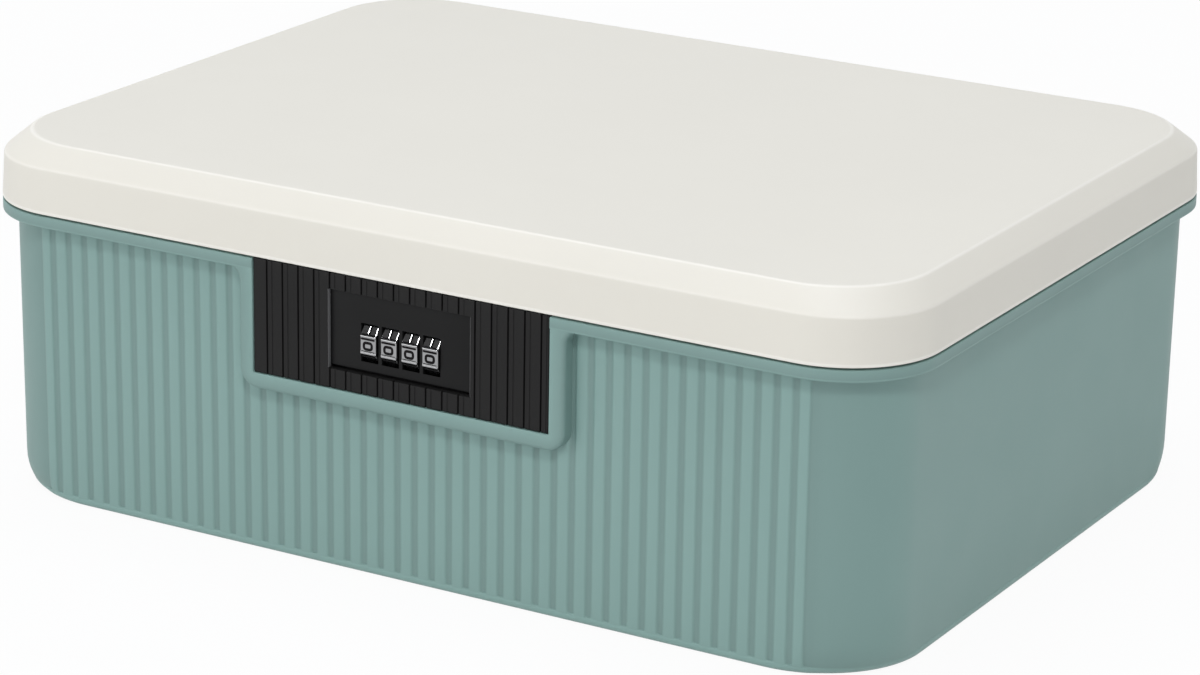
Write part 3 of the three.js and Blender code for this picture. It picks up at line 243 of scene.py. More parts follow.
def soft_corner(before, corner, after, distance, steps=6):
    """Points of a quadratic curve that cuts a profile's corner, from a distance before it to the same after it."""
    before, corner, after = (np.asarray(point, float) for point in (before, corner, after))
    start = corner + (before - corner) * distance / np.linalg.norm(before - corner)
    end = corner + (after - corner) * distance / np.linalg.norm(after - corner)
    t = np.linspace(0, 1, steps + 1)[:, None]
    return (1 - t) ** 2 * start + 2 * t * (1 - t) * corner + t**2 * end


def smooth(x, low, high):
    """A soft step: 3 t^2 - 2 t^3, where t runs from 0 at low to 1 at high."""
    t = np.clip((x - low) / (high - low), 0, 1)
    return t * t * (3 - 2 * t)


def ring_points(half_length, half_depth, radius, steps):
    """Rectangles with round corners, one per entry of the arrays: a corner's centre plus its radius by (cos, sin)."""
    angle = (np.arange(4)[:, None] + np.linspace(0, 1, steps + 1)) * math.pi / 2
    side_x = np.array([1, -1, -1, 1])[:, None]
    side_y = np.array([1, 1, -1, -1])[:, None]
    x = (half_length - radius)[:, None, None] * side_x + radius[:, None, None] * np.cos(angle)
    y = (half_depth - radius)[:, None, None] * side_y + radius[:, None, None] * np.sin(angle)
    return np.stack([x, y], axis=-1).reshape(len(radius), -1, 2)


def at_heights(rings, heights):
    """Rings of (X, Y) points with a height each."""
    return np.concatenate([rings, np.broadcast_to(heights[:, None, None], rings.shape[:2] + (1,))], axis=-1)


def turned(profile, centre, along):
    """A profile of (distance along, radius) turned round the X or Z axis through centre: along, r cos, r sin."""
    profile = np.asarray(profile, float)
    angle = np.linspace(0, 2 * math.pi, TURNED_SIDES, endpoint=False)
    reach = profile[:, 0][:, None] + 0 * angle
    u, v = profile[:, 1][:, None] * np.cos(angle), profile[:, 1][:, None] * np.sin(angle)
    return np.stack((reach, u, v) if along == "x" else (u, v, reach), axis=-1) + np.asarray(centre, float)


def boxy(low, high, radius):
    """A block with every edge rounded: rounded rectangles that grow and shrink by a quarter circle at both ends.

    A ring's corner radius is what its inset leaves of the edge's, kept a hair above 0 so that its points stay apart.
    The first ring and the last one are drawn together in the middle.
    """
    low, high = np.asarray(low, float), np.asarray(high, float)
    half, middle = (high - low) / 2, (high + low) / 2
    steps = 4
    inward, along = round_steps(radius, steps)
    inset = np.concatenate([[0], inward, inward[::-1], [0]])
    z = np.concatenate([[low[2]], low[2] + along, high[2] - along[::-1], [high[2]]])
    ring = ring_points(half[0] - inset, half[1] - inset, radius * 1.0001 - inset * 0.999, steps)
    ring[[0, -1]] = 0
    return at_heights(ring, z) + np.array([middle[0], middle[1], 0])


def sheet_piece(points, start=0, loop_rows=False):
    """The point list of a grid whose rows are closed rings, and its faces, with indices counted from start."""
    rows, columns = points.shape[:2]
    return points.reshape(-1, 3), quads(index_grid(rows, columns, start), loop_rows, True)


def several(grids):
    """Joins closed grids, each given as (points, loop_rows), into one point list and its faces."""
    points, faces, start = [], [], 0
    for grid, loop_rows in grids:
        flat, made = sheet_piece(grid, start, loop_rows)
        points.append(flat)
        faces.append(made)
        start += len(flat)
    return np.concatenate(points), faces


def edge_lines(low, high, radius):
    """Grid lines that are close together where an edge is rounded, at both ends of a span."""
    steps = radius * np.array([0, 0.08, 0.25, 0.5, 1])
    return np.concatenate([low + steps, high - steps])


def edge_drop(distance, radius):
    """How far a rounded edge falls away at a distance d from it: r - sqrt(r^2 - (r - d)^2) up to r, and 0 past it."""
    reach = np.clip(radius - distance, 0, radius)
    return radius - np.sqrt(np.maximum(radius**2 - reach**2, 0))


def panel(xs, zs, holes, front, back, back_z=None):
    """A slab over a grid of X and Z lines with right-angled holes in it.

    The front stands at front(X, Z) and the back at back(X, Z). Straight walls join them round the slab and each hole.
    """
    x, z = np.meshgrid(xs, zs)
    sides = (x, front(x, z), z), (x, back(x, z), z if back_z is None else back_z(z))
    points = np.stack([np.stack(side, -1) for side in sides]).reshape(-1, 3)
    near = index_grid(len(zs), len(xs))
    far = near + near.size
    mid_x, mid_z = np.meshgrid((xs[1:] + xs[:-1]) / 2, (zs[1:] + zs[:-1]) / 2)
    solid = np.ones(mid_x.shape, bool)
    for left, right, bottom, top in holes:
        solid &= ~((mid_x > left) & (mid_x < right) & (mid_z > bottom) & (mid_z < top))
    keep = solid.ravel()
    ring = np.pad(solid, 1)
    row, column = np.nonzero(ring[:, 1:] != ring[:, :-1])
    upright = [near[row - 1, column], near[row, column], far[row, column], far[row - 1, column]]
    row, column = np.nonzero(ring[1:] != ring[:-1])
    level = [near[row, column - 1], near[row, column], far[row, column], far[row, column - 1]]
    return points, [quads(near)[keep], quads(far)[keep][:, ::-1], np.stack(upright, -1), np.stack(level, -1)]


def edge_distance(x, z, outline, holes):
    """Distance to the nearest edge of a slab's outline or of a hole in it."""
    left, right, bottom, top = outline
    distance = np.minimum.reduce([x - left, right - x, z - bottom, top - z])
    for left, right, bottom, top in holes:
        gap_x, gap_z = np.maximum(left - x, x - right), np.maximum(bottom - z, z - top)
        beside = np.hypot(np.maximum(gap_x, 0), np.maximum(gap_z, 0))
        distance = np.minimum(distance, np.where(np.maximum(gap_x, gap_z) < 0, 0, beside))
    return distance


# Materials


class Value:
    """A socket in a node tree whose arithmetic adds Math nodes."""

    def __init__(self, nodes, socket):
        self.nodes = nodes
        self.socket = socket

    def math(self, operation, other):
        return self.nodes.add("ShaderNodeMath", {"operation": operation}, {0: self, 1: other})

    def __add__(self, other):
        return self.math("ADD", other)

    def __mul__(self, other):
        return self.math("MULTIPLY", other)

    __radd__ = __add__
    __rmul__ = __mul__


class Nodes:
    """A node tree whose nodes are added by one method."""

    def __init__(self, tree):
        self.tree = tree

    def add(self, kind, settings, inputs, output=0):
        """Adds a node, with its settings first and then the values or links of its sockets, and returns an output."""
        node = self.tree.nodes.new(kind)
        for key, value in settings.items():
            setattr(node, key, value)
        for key, value in inputs.items():
            self.feed(node.inputs[key], value)
        return Value(self, node.outputs[output])

    def feed(self, socket, value):
        if isinstance(value, Value):
            self.tree.links.new(value.socket, socket)
        else:
            socket.default_value = value

    def rays(self, *kinds):
        """1 for rays of any of these kinds, and 0 for others: the largest of the light path's values."""
        first, *others = (self.add("ShaderNodeLightPath", {}, {}, kind) for kind in kinds)
        for other in others:
            first = first.math("MAXIMUM", other)
        return first

    def mixed(self, factor, below, above):
        """The shader below where the factor is 0, and the one above where it is 1."""
        return self.add("ShaderNodeMixShader", {}, {0: factor, 1: below, 2: above})

    def show(self, output, shader):
        self.feed(self.tree.nodes[output].inputs["Surface"], shader)


class Finish(Nodes):
    """A Principled material and the patterns that vary it."""

    def __init__(self, name, **constants):
        self.material = bpy.data.materials.new(name)
        self.material.use_nodes = True
        super().__init__(self.material.node_tree)
        self.shader = self.tree.nodes["Principled BSDF"]
        for socket, value in constants.items():
            self.drive(socket.replace("_", " "), value)

    def drive(self, socket, value):
        self.feed(self.shader.inputs[socket], value)

    def place(self):
        return self.add("ShaderNodeTexCoord", {}, {}, "Object")

    def stretched(self, scale):
        return self.add("ShaderNodeMapping", {"vector_type": "POINT"}, {"Vector": self.place(), "Scale": scale})

    def noise(self, scale, detail=2.0, rough=0.5, vector=None):
        inputs = {"Vector": vector or self.place(), "Scale": scale, "Detail": detail, "Roughness": rough}
        return self.add("ShaderNodeTexNoise", {}, inputs, "Fac")

    def ramp(self, factor, low, high):
        """0 up to low and 1 from high on, with a straight line between them."""
        return self.add("ShaderNodeMapRange", {"clamp": True}, {"Value": factor, "From Min": low, "From Max": high})

    def blend(self, factor, first, second):
        first, second = ((*shade, 1) if isinstance(shade, tuple) else shade for shade in (first, second))
        return self.add("ShaderNodeMix", {"data_type": "RGBA"}, {0: factor, 6: first, 7: second}, 2)

    def painted_light(self, low, high):
        """Painted light and shade: the first colour as painted shade and the second as painted highlight, blended by
        the share that the piece gives each point.
        """
        share = self.add("ShaderNodeAttribute", {"attribute_name": "painted_light"}, {}, "Fac")
        return self.blend(share, low, high)

    def bump(self, height, strength, distance):
        return self.add("ShaderNodeBump", {}, {"Height": height, "Strength": strength, "Distance": distance}, "Normal")


def tinted(shade, factor):
    """A colour lighter or darker by a factor, up to white."""
    return tuple(min(1.0, channel * factor) for channel in shade)


def moulded(name, seen, roughness, grain, spread, gloss=0.5, light=None):
    """Moulded plastic: a fine etched grain, faint flow marks in the colour and a gloss that varies a little.

    Where a light colour is given, it is a painted highlight, blended in by the share of painted light that the piece
    gives each point.
    """
    look = Finish(name, Specular_IOR_Level=gloss)
    flow = look.ramp(look.noise(14.0, 3.0, 0.55), 0.3, 0.7)
    fine = look.noise(1800.0, 2.0, 0.6)
    tones = [linear(tone) for tone in (seen, light) if tone is not None]
    shades = [look.blend(flow, tinted(tone, 1 - spread), tinted(tone, 1 + spread)) for tone in tones]
    look.drive("Base Color", shades[0] if light is None else look.painted_light(*shades))
    look.drive("Roughness", look.ramp(look.noise(60.0, 2.0), 0.2, 0.8) * 0.06 + (roughness - 0.03))
    look.drive("Normal", look.bump(fine, grain, 0.04 * MM))
    return look.material


def bright_metal(name, seen, roughness, brushed=None, marks=0.04):
    """Bare or plated metal: faint brushing or tumbling marks in gloss and bump, and a slightly uneven tone."""
    shade = linear(seen)
    look = Finish(name, Metallic=1.0)
    vector = look.stretched(brushed) if brushed else None
    streak = look.noise(1.0 if brushed else 900.0, 3.0, 0.6, vector)
    tone = look.ramp(look.noise(180.0, 2.0), 0.3, 0.7)
    look.drive("Base Color", look.blend(tone, tinted(shade, 0.93), tinted(shade, 1.04)))
    look.drive("Roughness", look.ramp(streak, 0.25, 0.75) * marks + (roughness - marks / 2))
    look.drive("Normal", look.bump(streak, 0.12, 0.03 * MM))
    return look.material


def painted(name, seen, roughness, gloss):
    """Paint in an engraved digit: an uneven surface with a slight thinning of the colour."""
    shade = linear(seen)
    look = Finish(name, Specular_IOR_Level=gloss)
    wear = look.ramp(look.noise(2600.0, 2.0), 0.35, 0.8)
    look.drive("Base Color", look.blend(wear, shade, tinted(shade, 1.8)))
    look.drive("Roughness", wear * 0.15 + roughness)
    look.drive("Normal", look.bump(wear, 0.1, 0.03 * MM))
    return look.material


FINISHES = {}


def finishes():
    """Every finish of the box by name, made once."""
    if not FINISHES:
        tones = bpy.context.scene.lock_box_colours
        FINISHES.update(
            cream=moulded("cream_plastic", tones.cream, 0.46, grain=0.18, spread=0.008, light=tones.cream_painted_highlight),
            sage=moulded("sage_plastic", tones.sage, 0.5, grain=0.22, spread=0.014, light=tones.sage_painted_highlight),
            black=moulded("black_plastic", tones.black, 0.5, grain=0.3, spread=0.05, gloss=0.16),
            smooth_black=moulded("smooth_black_plastic", tones.smooth_black, 0.42, grain=0.1, spread=0.03, gloss=0.16),
            window_edge=moulded("window_edge_plastic", tones.window_edge, 0.4, grain=0.1, spread=0.03, gloss=0.3),
            inner_black=moulded("inner_black_plastic", tones.inner_black, 0.45, grain=0.3, spread=0.05, gloss=0.3),
            chrome=bright_metal("dial_chrome", tones.chrome, 0.14, brushed=(400.0, 3000.0, 3000.0), marks=0.08),
            ink=painted("digit_paint", tones.ink, 0.2, gloss=0.12),
            steel=bright_metal("bright_steel", tones.steel, 0.3, brushed=(900.0, 5200.0, 900.0)),
            brass=bright_metal("turned_brass", tones.brass, 0.3, brushed=(5200.0, 900.0, 900.0)),
            zinc=bright_metal("zinc_casting", tones.zinc, 0.42, marks=0.14),
        )
    return FINISHES


# Lid


class LOCKBOX_OT_lid(bpy.types.Operator):
    """Build the lid with its inner ribs, hasp posts and hinge knuckles"""

    bl_idname = "lockbox.lid"
    bl_label = "Lid"

    def execute(self, context):
        size = context.scene.lock_box_sizes
        look, slot = finishes()["cream"], "cream_plastic"
        surface, painted_light = lid_surface(size)
        moulding = several([(surface, False)])
        finish_mesh("lid_moulding", *moulding, look, "lid", ["lid_shell"], slot=slot, painted_light=painted_light)
        finish_mesh("lid_inner_ribs", *several(lid_ribs(size)), look, "lid", slot=slot)
        finish_mesh("lid_hasp_posts", *several(hasp_posts(size)), look, "lid", slot=slot)
        finish_mesh("lid_hinge_knuckles", *knuckles(LID_KNUCKLES, True), look, "lid", slot=slot)
        return {"FINISHED"}


def lid_surface(size):
    """The lid's skin, and the share of painted highlight of each of its points, full on its creases and its rim.

    Rounded rectangles are carried up a profile of (inset, height), outside and then inside, closed at both middles.
    """
    low, top, wall = size.parting, size.top, size.lid_wall
    shoulder, rim = (size.skirt_draft, top - size.bevel), (size.top_inset, top)
    flat, crease_reach, corner_steps = 5 * MM, 0.8 * MM, 22
    inward, upward = round_steps(0.5 * MM, 4)
    outside = np.concatenate([
        np.stack([inward, low + upward], -1),
        np.array([(0.02, 0.9), (0.04, 1.3), (0.1, 3), (0.35, 8)]) * MM + [0, low],
        soft_corner((0, low), shoulder, rim, crease_reach),
        [((shoulder[0] + rim[0]) / 2, (shoulder[1] + rim[1]) / 2)],
        soft_corner(shoulder, rim, (rim[0] + flat, top), crease_reach),
        [(rim[0] + 2.2 * MM, top), (rim[0] + 4 * MM, top)],
    ])
    # The rows of the lower rim, the skirt, the shoulder's crease, the slope, the top's crease and the top, each with
    # its share of painted highlight
    painted_light = [[1] * 6, [0] * 3, [0, 0.1, 0.35, 0.6, 0.45, 0.1, 0], [0], [0, 0.4, 0.8, 1, 0.8, 0.4, 0], [0, 0]]
    inner_shoulder = (wall + size.skirt_draft, top - size.bevel - wall / 2)
    inner_rim = (wall + size.top_inset, top - wall)
    inner_top = (inner_rim[0] + flat, inner_rim[1])
    inside = np.concatenate([
        [inner_top],
        soft_corner(inner_top, inner_rim, inner_shoulder, 2 * MM),
        soft_corner(inner_rim, inner_shoulder, (wall, low), 1.5 * MM),
        [(wall, low + 0.3 * MM), (wall - 0.3 * MM, low)],
    ])

    def rings(profile, thickness):
        inset = profile[:, 0]
        radius = size.corner - (size.corner - size.top_corner) * inset / size.top_inset - thickness
        return ring_points(size.half_length - inset, size.half_depth - inset, radius, corner_steps)

    outer, inner = rings(outside, 0), rings(inside, wall)
    skin = np.concatenate([inner[:1] * 0, inner, outer, outer[-1:] * 0.98, outer[-1:] * 0])
    heights = np.concatenate([inside[:1, 1], inside[:, 1], outside[:, 1], [top, top]])
    painted_light = np.concatenate([np.zeros(len(inside) + 1), *painted_light, [0, 0]])
    return at_heights(skin, heights), np.broadcast_to(painted_light[:, None], skin.shape[:2])


def lid_ribs(size):
    """Two stiffening ribs under the lid's top, from front to back."""
    under = size.top - size.lid_wall
    bottom, sunk = under - 3.6 * MM, under + 1 * MM
    reach, half = size.half_depth - 32 * MM, 0.8 * MM
    places = [side * 0.33 * size.half_length for side in (-1, 1)]
    return [(boxy((x - half, -reach, bottom), (x + half, reach, sunk), 0.4 * MM), False) for x in places]


def hasp_posts(size):
    """Two round posts that carry the hasp comb, with a soft foot under the lid's top: radius against height."""
    low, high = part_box("hasp_comb")[1].z + ROOM, size.top - size.lid_wall
    radius, chamfer, foot, sunk = 4 * MM, 0.4 * MM, 1.2 * MM, 0.8 * MM
    inward, upward = round_steps(foot, 5)
    profile = [(low, 0), (low, radius - chamfer), (low + chamfer, radius), (high - foot, radius)]
    profile += list(zip(high - upward[::-1], radius + inward[::-1]))
    profile += [(high + sunk, radius + foot), (high + sunk, 0)]
    return [(turned(profile, (x, y, 0), "z"), False) for x, y in hasp_places()]


def hasp_places():
    """Where the hasp comb is screwed on: the middles of its two screws."""
    boxes = [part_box(f"hasp_screw_{number}") for number in (1, 2)]
    return [((low.x + high.x) / 2, (low.y + high.y) / 2) for low, high in boxes]


# Hinge


HINGE_PINS = ("hinge_pin_left", "hinge_pin_right")
LID_KNUCKLES = ((-10 * MM, 10 * MM),)
TUB_KNUCKLES = ((-22.3 * MM, -10.3 * MM), (10.3 * MM, 22.3 * MM))


def knuckles(spans, upper):
    """The lid's or the tub's barrels of both hinges, at spans of X from the middle of each hinge's pin."""
    middles = [sum(corner.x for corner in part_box(name)) / 2 for name in HINGE_PINS]
    return several([(knuckle(middle + low, middle + high, upper), True) for middle in middles for low, high in spans])


def knuckle(low, high, upper):
    """A hinge barrel with a web to the lid or the tub.

    The outline in Y and Z is three quarters of a circle, closed by the web that runs to the wall. It is carried along X
    with rounded ends, and round the bore.
    """
    radius, bore, wall = 3.2 * MM, 1.6 * MM, -5.0 * MM
    angle = np.linspace(-0.5, 1, 37) * math.pi
    arc = np.stack([np.cos(angle), np.sin(angle)], -1) * radius
    arc[-3:, 1] = np.maximum(arc[-3:, 1], 0.25 * MM)
    web = np.array([[wall, 0.2 * MM], [wall, -radius], [-2.2 * MM, -radius], [-1.1 * MM, -radius]])
    outline = np.concatenate([arc, web])
    hole_angle = np.arctan2(outline[:, 1], outline[:, 0])
    hole = np.stack([np.cos(hole_angle), np.sin(hole_angle)], -1) * bore
    if upper:
        outline, hole = outline * [1, -1], hole * [1, -1]
    mouth, chamfer = hole * 1.08, 0.3 * MM
    inward, along = round_steps(0.4 * MM, 4)
    share = 1 - inward / radius
    rows = [(low + chamfer, hole), (low, mouth)]
    rows += [(low + a, outline * s) for a, s in zip(along, share)]
    rows += [(high - a, outline * s) for a, s in zip(along[::-1], share[::-1])]
    rows += [(high, mouth), (high - chamfer, hole)]
    yz = np.stack([row for _, row in rows])
    x = np.broadcast_to(np.array([place for place, _ in rows])[:, None, None], yz.shape[:2] + (1,))
    return np.concatenate([x, yz + [HINGE.y, HINGE.z]], axis=-1)


class LOCKBOX_OT_hinge_pins(bpy.types.Operator):
    """Build the two hinge pins with domed ends"""

    bl_idname = "lockbox.hinge_pins"
    bl_label = "Hinge Pins"

    def execute(self, context):
        inward, along = round_steps(0.5 * MM, 4)
        radius = 1.3 * MM - inward
        for name in HINGE_PINS:
            low, high = (corner.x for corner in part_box(name))
            profile = [(low, 0), *zip(low + along, radius), *zip((high - along)[::-1], radius[::-1]), (high, 0)]
            rod = several([(turned(profile, (0, HINGE.y, HINGE.z), "x"), False)])
            finish_mesh(f"{name}_rod", *rod, finishes()["steel"], "tub", [name], slot="steel")
        return {"FINISHED"}


# Tub


RIB_FLAT, RIB_ROOT = 1.45 * MM, 2.45 * MM


class LOCKBOX_OT_tub(bpy.types.Operator):
    """Build the tub with its front ribs, flange, lip and plinth"""

    bl_idname = "lockbox.tub"
    bl_label = "Tub"

    def execute(self, context):
        size, lock = context.scene.lock_box_sizes, context.scene.lock_box_lock
        look, slot = finishes()["sage"], "sage_plastic"
        *moulding, painted_light = tub_surface(size, lock)
        finish_mesh("tub_moulding", *moulding, look, "tub", ["body_tub"], slot=slot, sharp=40, painted_light=painted_light)
        *border, painted_light = lock_border(size, lock)
        finish_mesh("tub_lock_border", *border, look, "tub", slot=slot, painted_light=painted_light)
        finish_mesh("tub_lock_pad", *lock_pad(size), look, "tub", slot=slot)
        finish_mesh("tub_hinge_knuckles", *knuckles(TUB_KNUCKLES, False), look, "tub", slot=slot)
        return {"FINISHED"}


def flange_span(size):
    """Heights of the flange's lower edge and of its top."""
    top = size.parting - size.lid_gap
    return top - size.flange, top


def wall_inset(size, height):
    """How far the wall stands back from the flange's face: it runs evenly from the foot to the flange."""
    share = height / flange_span(size)[0]
    return size.wall_inset_foot + (size.wall_inset_top - size.wall_inset_foot) * share


def outline_stops(size):
    """Distances along the outline, from the front's middle to the ends of each corner, and to the back's middle."""
    straight, side = size.half_length - size.corner, 2 * (size.half_depth - size.corner)
    quarter = size.corner * math.pi / 2
    stops = np.cumsum([straight, quarter, side, quarter])
    return stops, stops[3] + size.half_length - size.corner


def walk_round(size, s):
    """Points and outward directions on the box's outline at signed distances from the middle of its front.

    A straight, a quarter circle, the side, a quarter circle and half of the back follow each other, mirrored for
    negative distances.
    """
    straight, side = size.half_length - size.corner, 2 * (size.half_depth - size.corner)
    stops, _ = outline_stops(size)
    away = np.abs(s)
    angle = sum(np.clip((away - start) / size.corner, 0, math.pi / 2) for start in stops[::2])
    normal = np.stack([np.sin(angle), -np.cos(angle)], -1)
    centre_x = np.where(away < stops[0], away, np.where(away < stops[3], straight, straight - (away - stops[3])))
    centre_y = -side / 2 + np.clip(away - stops[1], 0, side)
    points = np.stack([centre_x, centre_y], -1) + normal * size.corner
    mirror = np.stack([np.where(s < 0, -1.0, 1.0), np.ones_like(s)], -1)
    return points * mirror, normal * mirror


def rib_share(size, s):
    """1 on the flat of a rib and 0 in the groove, with soft flanks: a smooth step of the distance from its middle."""
    number = np.clip(np.round(s / size.rib_pitch), -size.rib_count, size.rib_count)
    return 1 - smooth(np.abs(s - number * size.rib_pitch), RIB_FLAT, RIB_ROOT)


def past_ribs(size, s, reach):
    """0 along the ribs and 1 at a distance past the last one: a smooth step."""
    last = size.rib_count * size.rib_pitch + 1.5 * MM
    return smooth(np.abs(s), last, last + reach)


def foot_draw(size, s, inset, height):
    """How far the foot's corners are drawn in, where their radius r grows by g towards the floor.

    On a corner's arc at angle a, with c = cos a + sin a, it is r + g c - sqrt((g c)^2 - 2 g^2 + (r + g)^2), which is
    where the old arc's ray meets the larger one. On the straight at distance d from the arc it is
    r + g - sqrt((r + g)^2 - (g - d)^2).
    """
    stops, _ = outline_stops(size)
    away = np.abs(s)[None, :]
    grown = size.foot_corner * np.clip(1 - height / size.foot_height, 0, 1)[:, None] ** 2.5
    radius = (size.corner - inset)[:, None]
    angle = np.where(away < stops[1], away - stops[0], away - stops[2]) / size.corner
    on_arc = (angle >= 0) & (angle <= math.pi / 2 + 1e-6)
    both = np.cos(angle) + np.sin(angle)
    arc = radius + grown * both - np.sqrt(np.maximum((grown * both) ** 2 - 2 * grown**2 + (radius + grown) ** 2, 0))
    off = np.min(np.abs(away - stops[:, None, None]), axis=0)
    rest = np.clip(grown - off, 0, None)
    straight = radius + grown - np.sqrt((radius + grown) ** 2 - rest**2)
    return np.where(on_arc, arc, straight)


def tub_stations(size):
    """Signed distances along the outline at which the tub has points.

    They lie on the ribs' flanks, at the edges of the notch and of the lock's way, round the corners and beside them.
    Those of the ribs that come too close to the edges of the notch are left out.
    """
    flank = np.linspace(RIB_FLAT, RIB_ROOT, 6)
    ribs = np.arange(-size.rib_count, size.rib_count + 1)[:, None] * size.rib_pitch
    ribs = (ribs + np.concatenate([-flank[::-1], [0], flank])).ravel()
    clear, hair, turn_points = 0.05 * MM, 0.002 * MM, 19
    ribs = ribs[np.abs(np.abs(ribs) - NOTCH_HALF) > clear]
    marks = np.array([LOCK_WAY[1], NOTCH_HALF - hair, NOTCH_HALF + hair])
    stops, end = outline_stops(size)
    near = np.array([2, 4, 6.5, 10]) * MM
    corners = [np.linspace(*stops[:2], turn_points), np.linspace(*stops[2:], turn_points)]
    beside = [stops[0] + near, stops[1] + near, stops[2] - near, stops[3] + near]
    half_way = np.concatenate([*corners, *beside, [end * 0.9999]])
    return np.unique(np.round(np.concatenate([ribs, marks, -marks, half_way, -half_way]), 8))


def tub_profile(size, lock):
    """Rows of the tub's profile up the outside, over the lip and down the inside, and how many are the outside's.

    A row is its inset, its height, whether the ribs show there, whether the notch for the fascia cuts it, whether it is
    the plinth's, and its share of painted highlight all the way round.
    """
    flange_low, flange_top = flange_span(size)
    foot = wall_inset(size, 0)
    foot_in, foot_up = round_steps(size.foot_round, 7)
    flange_in, flange_up = round_steps(size.flange_round, 4)
    edge_in, edge_up = round_steps(0.3 * MM, 4)
    floor_in, floor_up = round_steps(4 * MM, 8)
    hidden = NOTCH_LOW - lock.border / 2
    upper = [hidden + 0.2 * MM, LOCK_WAY[2], 77 * MM, LOCK_WAY[3], 89.6 * MM]
    heights = np.array([size.foot_height, 35 * MM, hidden, *upper])
    lip_top = flange_top + 4.2 * MM
    lip_out, lip_in = size.wall_inset_top, size.wall_inset_top + size.tub_wall
    floor_inset = wall_inset(size, size.floor) + size.tub_wall
    # The last value is painted light: the plinth band, the flange's lower edge and the lip are painted lighter, and the
    # flange's face keeps the darker sage as painted shade.
    rows = [(foot + i, u, 0, 0, 1, 0.2 + 0.8 * min(u / (1.4 * MM), 1)) for i, u in zip(foot_in, foot_up)]
    rows += [(foot, size.plinth - 0.3 * MM, 0, 0, 1, 0.85), (foot + 0.06 * MM, size.plinth - 0.02 * MM, 0, 0, 1, 0.65)]
    rows += [(wall_inset(size, z), z, 1, 0, 0, 0) for z in size.plinth + np.array([0.25, 0.6, 1.6, 2.8, 4.2, 6]) * MM]
    rows += [(wall_inset(size, z), z, 1, z > hidden, 0, 0) for z in heights]
    rows += [(size.wall_inset_top - 0.35 * MM, flange_low - 0.02 * MM, 0, 1, 0, 0)]
    rows += [(i, flange_low + u, 0, 1, 0, 0.5) for i, u in zip(flange_in, flange_up)]
    rows += [(0, flange_low + size.flange_round + 0.3 * MM, 0, 1, 0, 0)]
    rows += [(i, flange_top - u, 0, 1, 0, 0.4) for i, u in zip(edge_in[::-1], edge_up[::-1])]
    rows += [(lip_out, flange_top, 0, 1, 0, 0)]
    rows += [(lip_out + i, lip_top - u, 0, 0, 0, 0.5) for i, u in zip(edge_in[::-1], edge_up[::-1])]
    rows += [(lip_in - i, lip_top - u, 0, 0, 0, 0.5) for i, u in zip(edge_in, edge_up)]
    outside = len(rows)
    rows += [(wall_inset(size, z) + size.tub_wall, z, 0, 0, 0, 0.5) for z in heights[::-1]]
    rows += [(floor_inset + i, size.floor + u, 0, 0, 0, 0.5) for i, u in zip(floor_in[::-1], floor_up[::-1])]
    return np.array(rows), outside


def tub_surface(size, lock):
    """The tub's skin, with a way through for the lock, and the share of painted light of each of its points.

    A point is the outline's point less its outward direction times the profile's inset, and the ribs and the plinth
    take their height off the inset. The painted highlight is full at the edges, less on the ribs and the sides, and
    nothing in the grooves, which keep the darker sage as painted shade.
    """
    s = tub_stations(size)
    base, normal = walk_round(size, s)
    rows, outside = tub_profile(size, lock)
    inset, z, ribbed, notched, banded, edge = rows.T
    cut = (np.abs(s) < NOTCH_HALF)[None, :] & (notched[:, None] > 0)
    lifted = rib_share(size, s)[None, :] * ribbed[:, None]
    plain = past_ribs(size, s, 7 * MM)
    band = (size.rib_height * (1 - plain) + size.plinth_side * plain) * banded[:, None]
    notch_inset = 5.05 * MM
    depth = np.where(cut, np.maximum(inset[:, None], notch_inset), inset[:, None] - size.rib_height * lifted - band)
    depth[:outside] += foot_draw(size, s, inset, z)[:outside]
    flat = base[None] - normal[None] * depth[..., None]
    flat = np.concatenate([flat[:1] * 0, flat[:1] * 0.97, flat, flat[-1:] * 0.97, flat[-1:] * 0])
    z = np.concatenate([[0, 0], z, [size.floor, size.floor]])
    points = at_heights(flat, z)
    index = index_grid(*points.shape[:2])
    middle_s = (s + np.roll(s, -1)) / 2
    middle_s[-1] = outline_stops(size)[1]
    middle_z = (z[1:] + z[:-1]) / 2
    open_cell = (np.abs(middle_s) < LOCK_WAY[1])[None] & ((middle_z > LOCK_WAY[2]) & (middle_z < LOCK_WAY[3]))[:, None]
    skin = quads(index, loop_columns=True)[~open_cell.ravel()]
    # Painted light: the corners past the ribs get little of the lighter sage and the sides more, as light falls on
    # them; the ribs get more than the grooves, which stay as painted shade.
    sides = plain * (0.15 + 0.35 * past_ribs(size, s, 42 * MM))
    painted_light = np.where(cut, 0, 0.72 * lifted + edge[:, None] + sides[None] * ribbed[:, None])
    painted_light = np.pad(painted_light, ((2, 2), (0, 0)), mode="edge")
    return points.reshape(-1, 3), [skin, lock_way_walls(index, open_cell)], painted_light


def lock_way_walls(index, open_cell):
    """Faces that join the rim of the hole in the tub's outer skin to the rim of the one in its inner skin."""
    rows, columns = np.nonzero(open_cell)
    left, right = columns.min(), columns.max() + 1
    levels = np.unique(rows)
    split = np.nonzero(np.diff(levels) > 1)[0][0] + 1
    outer, inner = levels[:split], levels[split:]
    rims = []
    for low, high in ((outer[0], outer[-1] + 1), (inner[-1] + 1, inner[0])):
        step = 1 if high > low else -1
        up = np.arange(low, high + step, step)
        sides = [index[low, left:right], index[up[:-1], right], index[high, right:left:-1], index[up[::-1][:-1], left]]
        rims.append(np.concatenate(sides))
    a, b = rims
    return np.stack([a, np.roll(a, -1), np.roll(b, -1), b], -1)


